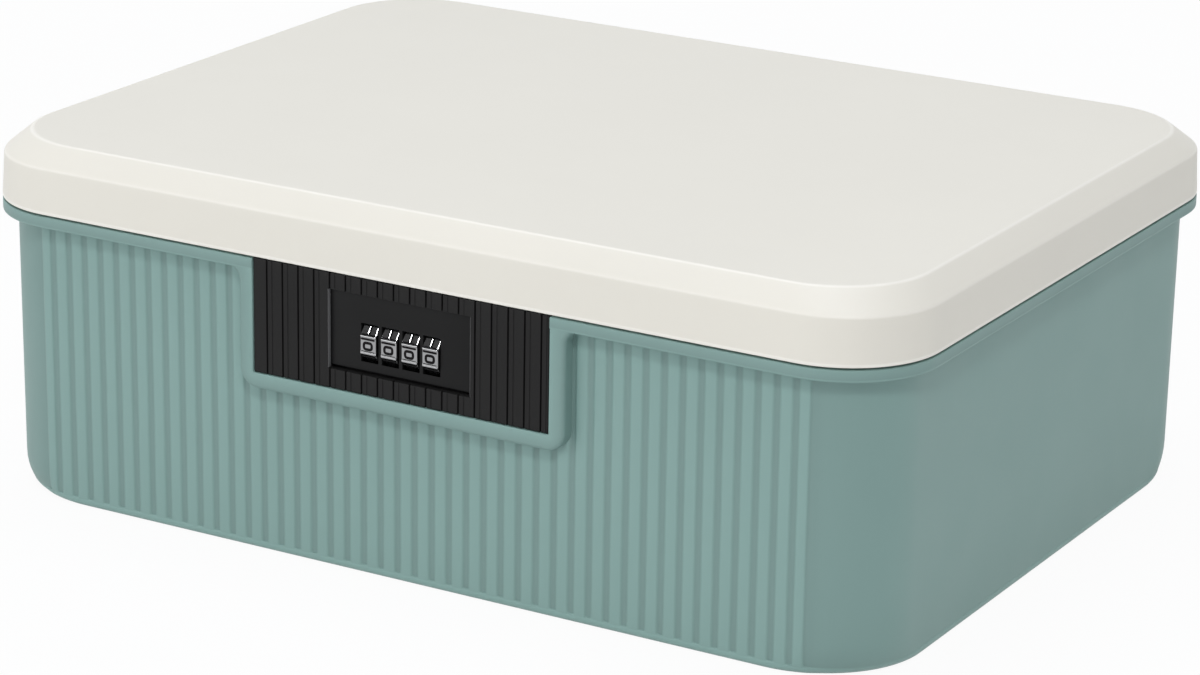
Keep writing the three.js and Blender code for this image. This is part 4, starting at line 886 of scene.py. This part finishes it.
def lock_pad(size):
    """A flat pad inside the front wall that the lock is screwed to, with the same way through it."""
    margin, edge = 1.5 * MM, 0.6 * MM
    left, right = HOUSING_LOW.x - margin, HOUSING_HIGH.x + margin
    bottom, top = HOUSING_LOW.z - margin, HOUSING_HIGH.z + margin
    front, back = -size.half_depth + 6.5 * MM, -size.half_depth + 9.8 * MM
    xs = np.unique(np.concatenate([edge_lines(left, right, edge), LOCK_WAY[:2]]))
    zs = np.unique(np.concatenate([edge_lines(bottom, top, edge), LOCK_WAY[2:]]))
    shape = lambda x, z: back - edge_drop(edge_distance(x, z, (left, right, bottom, top), []), edge)
    return panel(xs, zs, [LOCK_WAY], lambda x, z: 0 * x + front, shape)


def lock_border(size, lock):
    """The U-shaped band that stands out round the fascia, and the share of painted highlight of each of its points.

    Straight lines run from its inner to its outer edge, each with a rounded cross-section. Half of the U is worked out
    from the flange down to the middle and mirrored.
    """
    flange_low = flange_span(size)[0]
    notch, bottom = NOTCH_HALF, NOTCH_LOW
    side, low = notch + lock.border, bottom - lock.border
    fillet, corner, tight = lock.border_fillet, lock.border_corner, 0.5 * MM
    t = np.linspace(0, 1, 13)[:, None]
    quarter = t * math.pi / 2
    lift = flange_low + 2.4 * MM
    outer = np.concatenate([
        np.hstack([side + fillet - fillet * np.sin(quarter), flange_low - fillet + fillet * np.cos(quarter)]),
        np.hstack([side + 0 * t, (flange_low - fillet) * (1 - t) + (low + corner) * t])[1:],
        np.hstack([side - corner + corner * np.cos(quarter), low + corner - corner * np.sin(quarter)])[1:],
        np.hstack([(side - corner) * (1 - t), low + 0 * t])[1:],
    ])
    slide, sink = np.minimum(2 * t, 1), np.maximum(2 * t - 1, 0)
    inner = np.concatenate([
        np.hstack([(side + fillet) * (1 - slide) + notch * slide, lift - (lift - flange_low + fillet) * sink]),
        np.hstack([notch + 0 * t, (flange_low - fillet) * (1 - t) + (bottom + tight) * t])[1:],
        np.hstack([notch - tight + tight * np.cos(quarter), bottom + tight - tight * np.sin(quarter)])[1:],
        np.hstack([(notch - tight) * (1 - t), bottom + 0 * t])[1:],
    ])
    outer, inner = (np.concatenate([edge, (edge * [-1, 1])[-2::-1]]) for edge in (outer, inner))
    front, back = -size.half_depth + 0.02 * MM, -size.half_depth + 6.4 * MM
    in_a, up_a = round_steps(0.3 * MM, 4)
    in_b, up_b = round_steps(1.5 * MM, 7)
    width = np.linalg.norm(outer - inner, axis=1)[:, None]
    share = np.concatenate([0 * width, in_a[::-1] / width, 1 - in_b / width, 1 + 0 * width], axis=1)
    y = np.concatenate([[back], front + up_a[::-1], front + up_b, [back]])
    # Painted highlight: full on the front's inner rounded edge, fading across the face to little on the outer edge.
    painted_light = np.concatenate([[0], np.linspace(1, 0.6, len(in_a)), np.linspace(0.15, 0, len(in_b)), [0]])
    flat = inner[:, None] + (outer - inner)[:, None] * share[..., None]
    points = np.stack([flat[..., 0], np.broadcast_to(y, flat.shape[:2]), flat[..., 1]], -1)
    point_list, faces = sheet_piece(points)
    ends = index_grid(*points.shape[:2])
    return point_list, [faces, ends[:1], ends[-1:, ::-1]], np.broadcast_to(painted_light, points.shape[:2])


# Lock front


class LOCKBOX_OT_fascia(bpy.types.Operator):
    """Build the grooved fascia with its window"""

    bl_idname = "lockbox.fascia"
    bl_label = "Fascia"

    def execute(self, context):
        lock = context.scene.lock_box_lock
        # The window's sides get light grey strips as a painted highlight.
        black, edge = finishes()["black"], finishes()["window_edge"]
        moulding = fascia_surface(lock)
        finish_mesh("fascia_moulding", *moulding, black, "tub", ["lock_fascia"], slot="black_plastic", sharp=30)
        finish_mesh("fascia_window_edges", *several(window_edges(lock)), edge, "tub", slot="smooth_black_plastic")
        return {"FINISHED"}


def fascia_surface(lock):
    """The fascia: a slab with upright slits, deep and shallow ones by turns, and softened outer and window edges.

    A slit's depth is a smooth step of the distance into it.
    """
    left, right, bottom, top = FASCIA_LOW.x, FASCIA_HIGH.x, FASCIA_LOW.z, FASCIA_HIGH.z
    window = (-lock.window_half, lock.window_half, lock.window_low, lock.window_high)
    edge, soft = 0.3 * MM, 0.06 * MM
    half = lock.slit / 2
    starts = np.arange(left + lock.groove_first, right - 1 * MM, lock.groove_pitch) + half
    slits = ((starts, lock.groove_depth), (starts + lock.groove_width, 0.16 * lock.groove_depth))
    offsets = np.linspace(-soft, soft, 5)
    sides = np.concatenate([offsets - half, [0], half - offsets])
    lines = [(middles[:, None] + sides).ravel() for middles, _ in slits] + [edge_lines(left, right, edge)]
    lines += [side * edge_lines(window[1], window[1] + 2 * edge, edge) for side in (-1, 1)]
    lines = np.concatenate(lines)
    xs = np.unique(np.round(lines[(lines >= left) & (lines <= right)], 7))
    spans = (bottom, top), (window[2] - 2 * edge, window[2]), (window[3], window[3] + 2 * edge)
    zs = np.unique(np.round(np.concatenate([edge_lines(*span, edge) for span in spans]), 7))

    def front(x, z):
        drop = edge_drop(edge_distance(x, z, (left, right, bottom, top), [window]), edge)
        for middles, depth in slits:
            into = half - np.min(np.abs(x[..., None] - middles), axis=-1)
            drop = drop + depth * smooth(into, -soft, soft)
        return FASCIA_LOW.y + drop

    def back(x, z):
        reach = 2.4 * MM
        pocket = (np.abs(x) < window[1] + reach) & (z > window[2] - reach) & (z < window[3] + reach)
        return np.where(pocket, PLATE_HIGH.y - 1.3 * MM, FASCIA_HIGH.y)

    return panel(xs, zs, [window], front, back)


def window_edges(lock):
    """Two narrow light grey strips on the upright sides of the window, between the fascia and the dial plate, as a
    painted highlight.
    """
    proud, margin = 0.03 * MM, 0.1 * MM
    grids = []
    for side in (-1, 1):
        x = sorted((side * (lock.window_half + 2 * proud), side * (lock.window_half - proud)))
        low = (x[0], FASCIA_LOW.y + 0.12 * MM, lock.window_low + margin)
        high = (x[1], PLATE_LOW.y + 0.3 * MM, lock.window_high - margin)
        grids.append((boxy(low, high, proud), False))
    return grids


class LOCKBOX_OT_dial_plate(bpy.types.Operator):
    """Build the smooth plate with four slots for the dials"""

    bl_idname = "lockbox.dial_plate"
    bl_label = "Dial Plate"

    def execute(self, context):
        look, slot = finishes()["smooth_black"], "smooth_black_plastic"
        moulding = plate_surface(context.scene.lock_box_lock)
        finish_mesh("dial_plate_moulding", *moulding, look, "tub", ["dial_plate"], slot=slot, sharp=30)
        return {"FINISHED"}


def plate_surface(lock):
    """The dial plate: a pad with a softened edge on a thin rim, and four slots that widen backwards.

    The slots follow the curve of the dials, at a small distance: sqrt(r^2 - y^2) above and below their axis.
    """
    left, right = -lock.window_half + 0.08 * MM, lock.window_half - 0.08 * MM
    bottom, top = lock.window_low + 1.05 * MM, lock.window_high - 0.1 * MM
    half, edge, step = DIAL_HALF + ROOM, 0.12 * MM, 0.02 * MM
    reach, room = DIALS[0].y - PLATE_LOW.y, 0.6 * MM
    radius = lock.dial_radius + 0.35 * MM
    mouth = math.sqrt(radius**2 - reach**2)
    behind = math.sqrt(radius**2 - (reach - (PLATE_HIGH.y - PLATE_LOW.y)) ** 2)
    height = DIALS[0].z
    slot_low, slot_top = height - mouth, height + mouth + room
    slots = [(dial.x - half, dial.x + half, slot_low, slot_top) for dial in DIALS]

    def lines(low, high, plate_low, plate_high, edges):
        """Lines at the pad's edges, just outside them, at the plate's edges and at both sides of each slot."""
        places = [edge_lines(low, high, edge), [low - step, high + step], edge_lines(plate_low, plate_high, edge)]
        for a, b in edges:
            places += [edge_lines(a - edge, a, edge * 0.99), edge_lines(b, b + edge, edge * 0.99)]
        return np.unique(np.round(np.concatenate(places), 7))

    def front(x, z):
        to_edge = np.minimum.reduce([x - left, right - x, z - bottom, top - z])
        pad = PLATE_LOW.y + edge_drop(edge_distance(x, z, (left, right, bottom, top), slots), edge)
        return np.where(to_edge > -step / 2, pad, PLATE_HIGH.y - 1 * MM)

    xs = lines(left, right, PLATE_LOW.x, PLATE_HIGH.x, [slot[:2] for slot in slots])
    zs = lines(bottom, top, PLATE_LOW.z, PLATE_HIGH.z, [(slot_low, slot_top)])
    stops = [PLATE_LOW.z, slot_low, slot_top, PLATE_HIGH.z]
    wider = lambda z: np.interp(z, stops, [PLATE_LOW.z, height - behind, height + behind + room, PLATE_HIGH.z])
    return panel(xs, zs, slots, front, lambda x, z: 0 * x + PLATE_HIGH.y, wider)


class LOCKBOX_OT_dials(bpy.types.Operator):
    """Build the four number dials with their ridges and digits"""

    bl_idname = "lockbox.dials"
    bl_label = "Dials"

    def execute(self, context):
        lock = context.scene.lock_box_lock
        chrome, ink = finishes()["chrome"], finishes()["ink"]
        for number, axis in enumerate(DIALS, 1):
            name = f"dial_{number}"
            ring = several([(dial_surface(lock, axis), True)])
            finish_mesh(f"{name}_ring", *ring, chrome, name, [f"dial_ring_{number}"], slot="chrome", sharp=60)
            finish_mesh(f"{name}_digits", *dial_digits(lock, axis, False), ink, name, slot="chrome")
            finish_mesh(f"{name}_digit_spines", *dial_digits(lock, axis, True), chrome, name, slot="chrome", sharp=5)
        return {"FINISHED"}


def dial_surface(lock, axis):
    """A dial: ten flat faces between ridges, with chamfered edges, closed round its bore.

    The radius is the face's distance over the cosine of the angle from the face's middle. A smooth step lifts it to the
    ridge, which falls off by a square of the angle from its own middle.
    """
    turn = 2 * math.pi / DIAL_FACES
    inside = np.array([0, 4.5, 9, 13, 15.0, 15.35, 15.7, 16.05, 16.4, 16.7, 17.0, 17.5, 18])
    angle = np.radians(np.concatenate([-inside[:0:-1][1:], inside]))
    angle = (np.arange(DIAL_FACES)[:, None] * turn + angle).ravel()
    share = (angle + turn / 2) % turn - turn / 2
    face = lock.dial_face / np.cos(share)
    ridge = smooth(np.abs(share), math.radians(15), math.radians(16.4))
    crown = 0.07 * MM * np.clip((turn / 2 - np.abs(share)) / math.radians(1.6), 0, 1) ** 2
    across = DIAL_HALF - np.array([0, 0.02, 0.05, 0.07, 0.24, 0.27, 0.30, 1.4]) * MM
    drop = np.array([0.200, 0.155, 0.120, 0.1037, 0.0156, 0, 0, 0]) * MM
    across, drop = np.concatenate([across, -across[::-1]]), np.concatenate([drop, drop[::-1]])
    outer = face[None, :] * (1 - ridge) + (lock.dial_radius - crown) * ridge - drop[:, None]
    bore, bore_half = 4.35 * MM, DIAL_HALF - 0.02 * MM
    radius = np.concatenate([outer, np.full((2, len(angle)), bore)])
    x = np.concatenate([across, [-bore_half, bore_half]])
    y = axis.y - radius * np.cos(angle)
    z = axis.z + radius * np.sin(angle)
    return np.stack([axis.x + np.broadcast_to(x[:, None], radius.shape), y, z], -1)


DIGIT_STROKES = {
    0: [("closed", [(-1, -1), (1, -1), (1, 1), (-1, 1)])],
    1: [("upright", [(0, -1.45), (0, 2.15)])],
    2: [("open", [(-1, 0.7), (-0.9, 1), (1, 1), (1, 0.05), (-1, -0.3), (-1, -1), (1, -1)])],
    3: [("open", [(-1, 1), (1, 1), (1, -1), (-1, -1)]), ("open", [(-0.3, 0), (0.9, 0)])],
    4: [("open", [(-0.6, 1.2), (-1, -0.4), (1, -0.4)]), ("upright", [(0.6, 1.2), (0.6, -1.2)])],
    5: [("open", [(0.95, 1), (-0.95, 1), (-1, 0.15), (1, 0.15), (1, -1), (-1, -1)])],
    6: [("open", [(0.9, 1), (-1, 1), (-1, -1), (1, -1), (1, 0.1), (-0.9, 0.1)])],
    7: [("open", [(-1, 1), (1, 1), (-0.1, -1.2)])],
    8: [("closed", [(-1, -1), (1, -1), (1, 1), (-1, 1)]), ("open", [(-0.9, 0), (0.9, 0)])],
    9: [("open", [(-0.9, -1), (1, -1), (1, 1), (-1, 1), (-1, -0.1), (0.9, -0.1)])],
}


def dial_digits(lock, axis, spines):
    """Digits 0 to 9, one on each face, as low strokes between two dark lines of painted shade, or only the spines of
    their upright strokes.

    A stroke's width, height and thickness become X and the face's upward and outward directions. A spine is a bright
    ridge whose right flank leans by 27.5 degrees.
    """
    low = np.array([(-0.5, -0.3), (-0.5, 0.02), (-0.3, 0.05), (0.3, 0.05), (0.5, 0.02), (0.5, -0.3)]) * lock.stroke
    wide = low * [1.45, 1]
    spine = np.array([(-0.26, -0.1), (-0.26, 0.05), (-0.17, 0.14), (-0.04, 0.0723), (-0.04, -0.1)]) * MM
    half = np.array([lock.digit_width, lock.digit]) / 2 - lock.stroke / 2
    bend = 0.85 * MM
    # The two dark lines along each face's ridges are painted shade.
    shade_lines = [] if spines else ridge_shade_lines()
    points, faces, start = [], [], 0
    for digit, strokes in DIGIT_STROKES.items():
        angle = digit * 2 * math.pi / DIAL_FACES
        outward = np.array([0, -math.cos(angle), math.sin(angle)])
        upward = np.array([0, math.sin(angle), math.cos(angle)])
        drawn = []
        for kind, corners in strokes:
            closed = kind == "closed"
            path = rounded_path(np.array(corners) * half, bend, closed) - [0, lock.digit_drop]
            if not spines:
                drawn.append((stroke(path, wide if kind == "upright" else low, closed), closed))
            elif kind == "upright":
                rising = path[::-1] if path[0, 1] > path[-1, 1] else path
                drawn.append((stroke(rising, spine, closed), closed))
        for local, closed in drawn + [(stroke(line, profile, False), False) for line, profile in shade_lines]:
            placed = local[..., :1] * [1, 0, 0] + local[..., 1:2] * upward + (local[..., 2:] + lock.dial_face) * outward
            grid, made = sheet_piece(placed + np.array(axis), start, closed)
            points.append(grid)
            faces.append(made)
            if not closed:
                ends = index_grid(*local.shape[:2], start)
                faces += [ends[:1], ends[-1:, ::-1]]
            start += len(grid)
    return np.concatenate(points), faces


def ridge_shade_lines():
    """Paths and profiles of two dark lines across a face, painted shade along the ridges: a broad one below its upper
    ridge and a thin one at its foot.
    """
    reach = DIAL_HALF - 0.45 * MM
    flat = np.array([(-0.5, -0.1), (-0.5, 0.03), (0.5, 0.03), (0.5, -0.1)])
    levels = ((1.82 * MM, 0.62 * MM), (-2.0 * MM, 0.3 * MM))
    return [(np.array([(-reach, z), (0, z), (reach, z)]), flat * [width, MM]) for z, width in levels]


def stroke(path, profile, closed):
    """A profile of (sideways, outward) carried along a flat path, each point moved by the path's sideways direction.

    The ends of an open path reach a little further and are narrower.
    """
    ahead, behind = np.roll(path, -1, axis=0), np.roll(path, 1, axis=0)
    if not closed:
        ahead[-1], behind[0] = path[-1], path[0]
    along = ahead - behind
    along /= np.linalg.norm(along, axis=1)[:, None]
    sideways = np.stack([along[:, 1], -along[:, 0]], -1)
    width = np.ones(len(path))
    if not closed:
        tip, tip_width = 0.3 * np.ptp(profile[:, 0]), 0.35
        path = np.concatenate([path[:1] - along[:1] * tip, path, path[-1:] + along[-1:] * tip])
        sideways = np.concatenate([sideways[:1], sideways, sideways[-1:]])
        width = np.concatenate([[tip_width], width, [tip_width]])
    flat = path[:, None] + sideways[:, None] * (profile[:, 0] * width[:, None])[..., None]
    height = np.broadcast_to(profile[:, 1], flat.shape[:2])
    return np.concatenate([flat, height[..., None]], -1)


def rounded_path(corners, radius, closed):
    """Points along straight lines whose corners are cut by quadratic curves, none longer than half of a line."""
    before, after = np.roll(corners, 1, axis=0), np.roll(corners, -1, axis=0)
    parts = []
    for index, (a, corner, b) in enumerate(zip(before, corners, after)):
        if not closed and index in (0, len(corners) - 1):
            parts.append(corner[None])
            continue
        reach = min(radius, 0.49 * np.linalg.norm(a - corner), 0.49 * np.linalg.norm(b - corner))
        parts.append(soft_corner(a, corner, b, reach, 7))
    return np.concatenate(parts)


# Inside of the lock


# Body, axis, how many there are, and the radius of the shank, the radius of the head and its height in millimetres
SCREWS = {
    "cover_screw": ("tub", "y", 4, 1.0, 2.0, 1.3),
    "fascia_screw": ("tub", "y", 4, 1.3, 2.6, 1.6),
    "hasp_screw": ("lid", "z", 2, 1.3, 2.8, 1.6),
}


class LOCKBOX_OT_screws(bpy.types.Operator):
    """Build every screw of the lock and the hasp with a socket head and thread"""

    bl_idname = "lockbox.screws"
    bl_label = "Screws"

    def execute(self, context):
        for kind, (body, along, count, *sizes) in SCREWS.items():
            for number in range(1, count + 1):
                name = f"{kind}_{number}"
                screw = several([(screw_surface(name, along, *(size * MM for size in sizes)), False)])
                finish_mesh(f"{name}_turned", *screw, finishes()["steel"], body, [name], slot="steel")
        return {"FINISHED"}


def screw_surface(name, along, shank, head, height):
    """A screw: a hexagonal socket, a domed head and a shank whose radius waves with the thread, turned round its axis.

    The socket's radius at an angle is its flat distance over the cosine of the angle from the nearest flat's middle.
    """
    low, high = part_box(name)
    total = (high - low)["xyz".index(along)]
    angle = np.linspace(0, 2 * math.pi, 36, endpoint=False)
    hexagon = 1 / np.cos((angle + math.pi / 6) % (math.pi / 3) - math.pi / 6)
    circle = np.ones_like(angle)
    socket, depth = 0.52 * shank, 0.55 * height
    rows = [(depth, 0 * circle), (depth, socket * hexagon)]
    rows += [(0.03 * height, socket * hexagon), (0, (socket * 1.12) * hexagon)]
    dome = np.linspace(0, 1, 6)
    rows += [(height * 0.6 * (1 - math.sqrt(1 - t * t)), (0.66 * head + 0.34 * head * t) * circle) for t in dome]
    rows += [(height, head * circle), (height, shank * circle)]
    thread = np.arange(height + 0.25 * MM, total - shank, 0.2 * MM)
    wave = shank * (0.9 + 0.1 * np.cos(2 * math.pi * (thread - height) / (0.8 * MM)))
    rows += [(place, radius * circle) for place, radius in zip(thread, wave)]
    rows += [(total - 0.1 * shank, 0.35 * shank * circle), (total, 0 * circle)]
    reach = np.array([place for place, _ in rows])[:, None] + 0 * angle
    radius = np.stack([ring for _, ring in rows])
    u, v = radius * np.cos(angle), radius * np.sin(angle)
    centre = (low + high) / 2
    if along == "y":
        return np.stack([centre.x + u, high.y - reach, centre.z + v], -1)
    return np.stack([centre.x + u, centre.y + v, low.z + reach], -1)


class LOCKBOX_OT_lock_parts(bpy.types.Operator):
    """Soften the edges of the lock housing, its cover, the reset lever and the hasp comb"""

    bl_idname = "lockbox.lock_parts"
    bl_label = "Lock Parts"

    def execute(self, context):
        black, zinc = finishes()["inner_black"], finishes()["zinc"]
        softened("lock_housing", "tub", black, "inner_black_plastic", 0.3 * MM)
        softened("lock_rear_cover", "tub", black, "inner_black_plastic", 0.3 * MM)
        softened("code_reset_lever", "reset_lever", black, "inner_black_plastic", 0.15 * MM)
        softened("hasp_comb", "lid", zinc, "zinc_casting", 0.12 * MM)
        return {"FINISHED"}


def softened(node, body, look, slot, width):
    """A copy of a solid with its flat facets joined and its edges bevelled."""
    mesh = frame["nodes"][node].data.copy()
    shape = bmesh.new()
    shape.from_mesh(mesh)
    bmesh.ops.remove_doubles(shape, verts=shape.verts, dist=0.002 * MM)
    bmesh.ops.dissolve_limit(shape, angle_limit=math.radians(1), verts=shape.verts, edges=shape.edges)
    shape.to_mesh(mesh)
    shape.free()
    mesh.materials.clear()
    crease(mesh, look, 30)
    bevel = add_piece(f"{node}_soft", mesh, body, slot, [node]).modifiers.new("Edges", "BEVEL")
    bevel.width = width
    bevel.segments = 2
    bevel.limit_method = "ANGLE"
    bevel.angle_limit = math.radians(50)
    bevel.use_clamp_overlap = True


# How the names of the solids of each finish start
SOLIDS = {
    "cream": ("lid_shell",),
    "sage": ("body_tub",),
    "inner_black": ("lock_", "code_reset"),
    "smooth_black": ("dial_plate",),
    "chrome": ("dial_ring",),
    "brass": ("code_disc", "spindle_collar"),
    "steel": ("dial_spindle", "spindle_", "detent_spring", "hinge_pin", "hasp_screw", "cover_screw", "fascia_screw"),
    "zinc": ("hasp_comb",),
}


class LOCKBOX_OT_inner_finishes(bpy.types.Operator):
    """Give the solids that stay as they are their finishes"""

    bl_idname = "lockbox.inner_finishes"
    bl_label = "Inner Finishes"

    def execute(self, context):
        for name, node in frame["nodes"].items():
            kind = next(look for look, starts in SOLIDS.items() if name.startswith(starts))
            for material_slot in node.material_slots:
                material_slot.material = finishes()[kind]
        return {"FINISHED"}


# Stage


CAMERA_PLACE = (0.61887, -1.07192, 0.45366)
CAMERA_AZIMUTH, CAMERA_ELEVATION, CAMERA_ROLL = 30.044, 18.235, 0.992
CAMERA_LENS = 122.75
BOX_MIDDLE = Vector((0, 0, 0.06))
WHITE = (1, 1, 1, 1)

# Place, side, watts and colour
LAMPS = {
    "key_lamp": ((-1.8, -2.2, 0.95), 1.6, 15.8, (1, 1, 1)),
    "front_lamp": ((0.95, -1.6, 1.9), 0.4, 16, (1, 1, 1)),
    "top_lamp": ((-0.3, 0.1, 2.6), 1.8, 27.5, (0.86, 0.91, 1)),
}


class LOCKBOX_OT_stage(bpy.types.Operator):
    """Build the floor, the soft lamps, the world and the camera"""

    bl_idname = "lockbox.stage"
    bl_label = "Stage"

    def execute(self, context):
        scene = context.scene
        mesh = bpy.data.meshes.new("floor")
        reach = 6.0
        corners = [(x * reach, y * reach, 0) for x, y in ((-1, -1), (1, -1), (1, 1), (-1, 1))]
        mesh.from_pydata(corners, [], [(0, 1, 2, 3)])
        mesh.materials.append(pale_floor())
        floor = bpy.data.objects.new("floor", mesh)
        scene.collection.objects.link(floor)
        for name, settings in LAMPS.items():
            lamp(name, *settings)
        scene.world = soft_world()
        scene.view_settings.view_transform = "Standard"
        scene.camera = aimed_camera()
        return {"FINISHED"}


def lamp(name, place, side, watts, tone):
    """A square soft lamp aimed at the middle of the box."""
    light = bpy.data.lights.new(name, "AREA")
    light.shape = "SQUARE"
    light.size = side
    light.energy = watts
    light.color = tone
    holder = bpy.data.objects.new(name, light)
    holder.location = place
    holder.rotation_euler = (BOX_MIDDLE - Vector(place)).to_track_quat("-Z", "Y").to_euler()
    bpy.context.scene.collection.objects.link(holder)


def pale_floor():
    """A pale matt floor that shows nearly white, to the camera and in gloss and glass, and keeps a faint shadow."""
    look = Finish("pale_floor", Roughness=0.9)
    tone = look.ramp(look.noise(3.0, 2.0), 0.3, 0.7)
    look.drive("Base Color", look.blend(tone, (0.80, 0.80, 0.80), (0.82, 0.82, 0.82)))
    glow = look.add("ShaderNodeEmission", {}, {"Color": WHITE, "Strength": 1.0})
    cover = 0.94
    seen = look.rays("Is Camera Ray", "Is Glossy Ray", "Is Transmission Ray") * cover
    look.show("Material Output", look.mixed(seen, Value(look, look.shader.outputs[0]), glow))
    return look.material


def soft_world():
    """White to the camera, white to greyer overhead in reflections, and a plain soft light to everything else."""
    world = bpy.data.worlds.new("soft_studio")
    world.use_nodes = True
    sky = Nodes(world.node_tree)
    direction = sky.add("ShaderNodeTexCoord", {}, {}, "Generated")
    height = sky.add("ShaderNodeSeparateXYZ", {}, {0: direction}, "Z")
    fade = {"Value": height, "From Min": 0.2, "From Max": 0.6, "To Min": 1.0, "To Max": 0.12}
    overhead = sky.add("ShaderNodeMapRange", {}, fade)
    plain = sky.tree.nodes["Background"]
    sky.feed(plain.inputs["Color"], (0.96, 0.98, 1.0, 1))
    sky.feed(plain.inputs["Strength"], 0.5)
    mirrored = sky.add("ShaderNodeBackground", {}, {"Color": WHITE, "Strength": overhead})
    white = sky.add("ShaderNodeBackground", {}, {"Color": WHITE, "Strength": 1.0})
    glossy = sky.rays("Is Glossy Ray", "Is Transmission Ray")
    unseen = sky.mixed(glossy, Value(sky, plain.outputs[0]), mirrored)
    sky.show("World Output", sky.mixed(sky.rays("Is Camera Ray"), unseen, white))
    return world


def aimed_camera():
    """The camera at the photograph's angle, rolled a little: back is (sin a cos e, -cos a cos e, sin e)."""
    azimuth, elevation, roll = (math.radians(angle) for angle in (CAMERA_AZIMUTH, CAMERA_ELEVATION, CAMERA_ROLL))
    level = Vector((math.cos(azimuth), math.sin(azimuth), 0))
    reach = math.cos(elevation)
    back = Vector((math.sin(azimuth) * reach, -math.cos(azimuth) * reach, math.sin(elevation)))
    up = back.cross(level)
    right = level * math.cos(roll) + up * math.sin(roll)
    upward = up * math.cos(roll) - level * math.sin(roll)
    lens = bpy.data.cameras.new("camera")
    lens.lens = CAMERA_LENS
    lens.sensor_width = 36
    camera = bpy.data.objects.new("camera", lens)
    camera.matrix_world = Matrix.Translation(CAMERA_PLACE) @ Matrix((right, upward, back)).transposed().to_4x4()
    bpy.context.scene.collection.objects.link(camera)
    return camera


# Panel and registration


OPERATORS = (
    LOCKBOX_OT_inner_finishes,
    LOCKBOX_OT_lid,
    LOCKBOX_OT_tub,
    LOCKBOX_OT_hinge_pins,
    LOCKBOX_OT_fascia,
    LOCKBOX_OT_dial_plate,
    LOCKBOX_OT_dials,
    LOCKBOX_OT_screws,
    LOCKBOX_OT_lock_parts,
    LOCKBOX_OT_stage,
)


class LOCKBOX_PT_panel(bpy.types.Panel):
    """The box's pieces, sizes and colours"""

    bl_idname = "LOCKBOX_PT_panel"
    bl_label = "Lock Box"
    bl_space_type = "VIEW_3D"
    bl_region_type = "UI"
    bl_category = "Lock Box"

    def draw(self, context):
        for group in (context.scene.lock_box_sizes, context.scene.lock_box_lock, context.scene.lock_box_colours):
            column = self.layout.column(align=True)
            for name in group.__annotations__:
                column.prop(group, name)
        column = self.layout.column()
        for operator in OPERATORS:
            column.operator(operator.bl_idname)


GROUPS = {"lock_box_sizes": BoxSizes, "lock_box_lock": LockSizes, "lock_box_colours": Colours}


def register():
    for group in (*GROUPS.values(), *OPERATORS, LOCKBOX_PT_panel):
        bpy.utils.register_class(group)
    for name, group in GROUPS.items():
        setattr(bpy.types.Scene, name, PointerProperty(type=group))


def unregister():
    for name in GROUPS:
        delattr(bpy.types.Scene, name)
    for group in reversed((*GROUPS.values(), *OPERATORS, LOCKBOX_PT_panel)):
        bpy.utils.unregister_class(group)


def main():
    register()
    for operator in OPERATORS:
        name = operator.bl_idname.split(".")[1]
        getattr(bpy.ops.lockbox, name)()


if __name__ == "__main__":
    main()
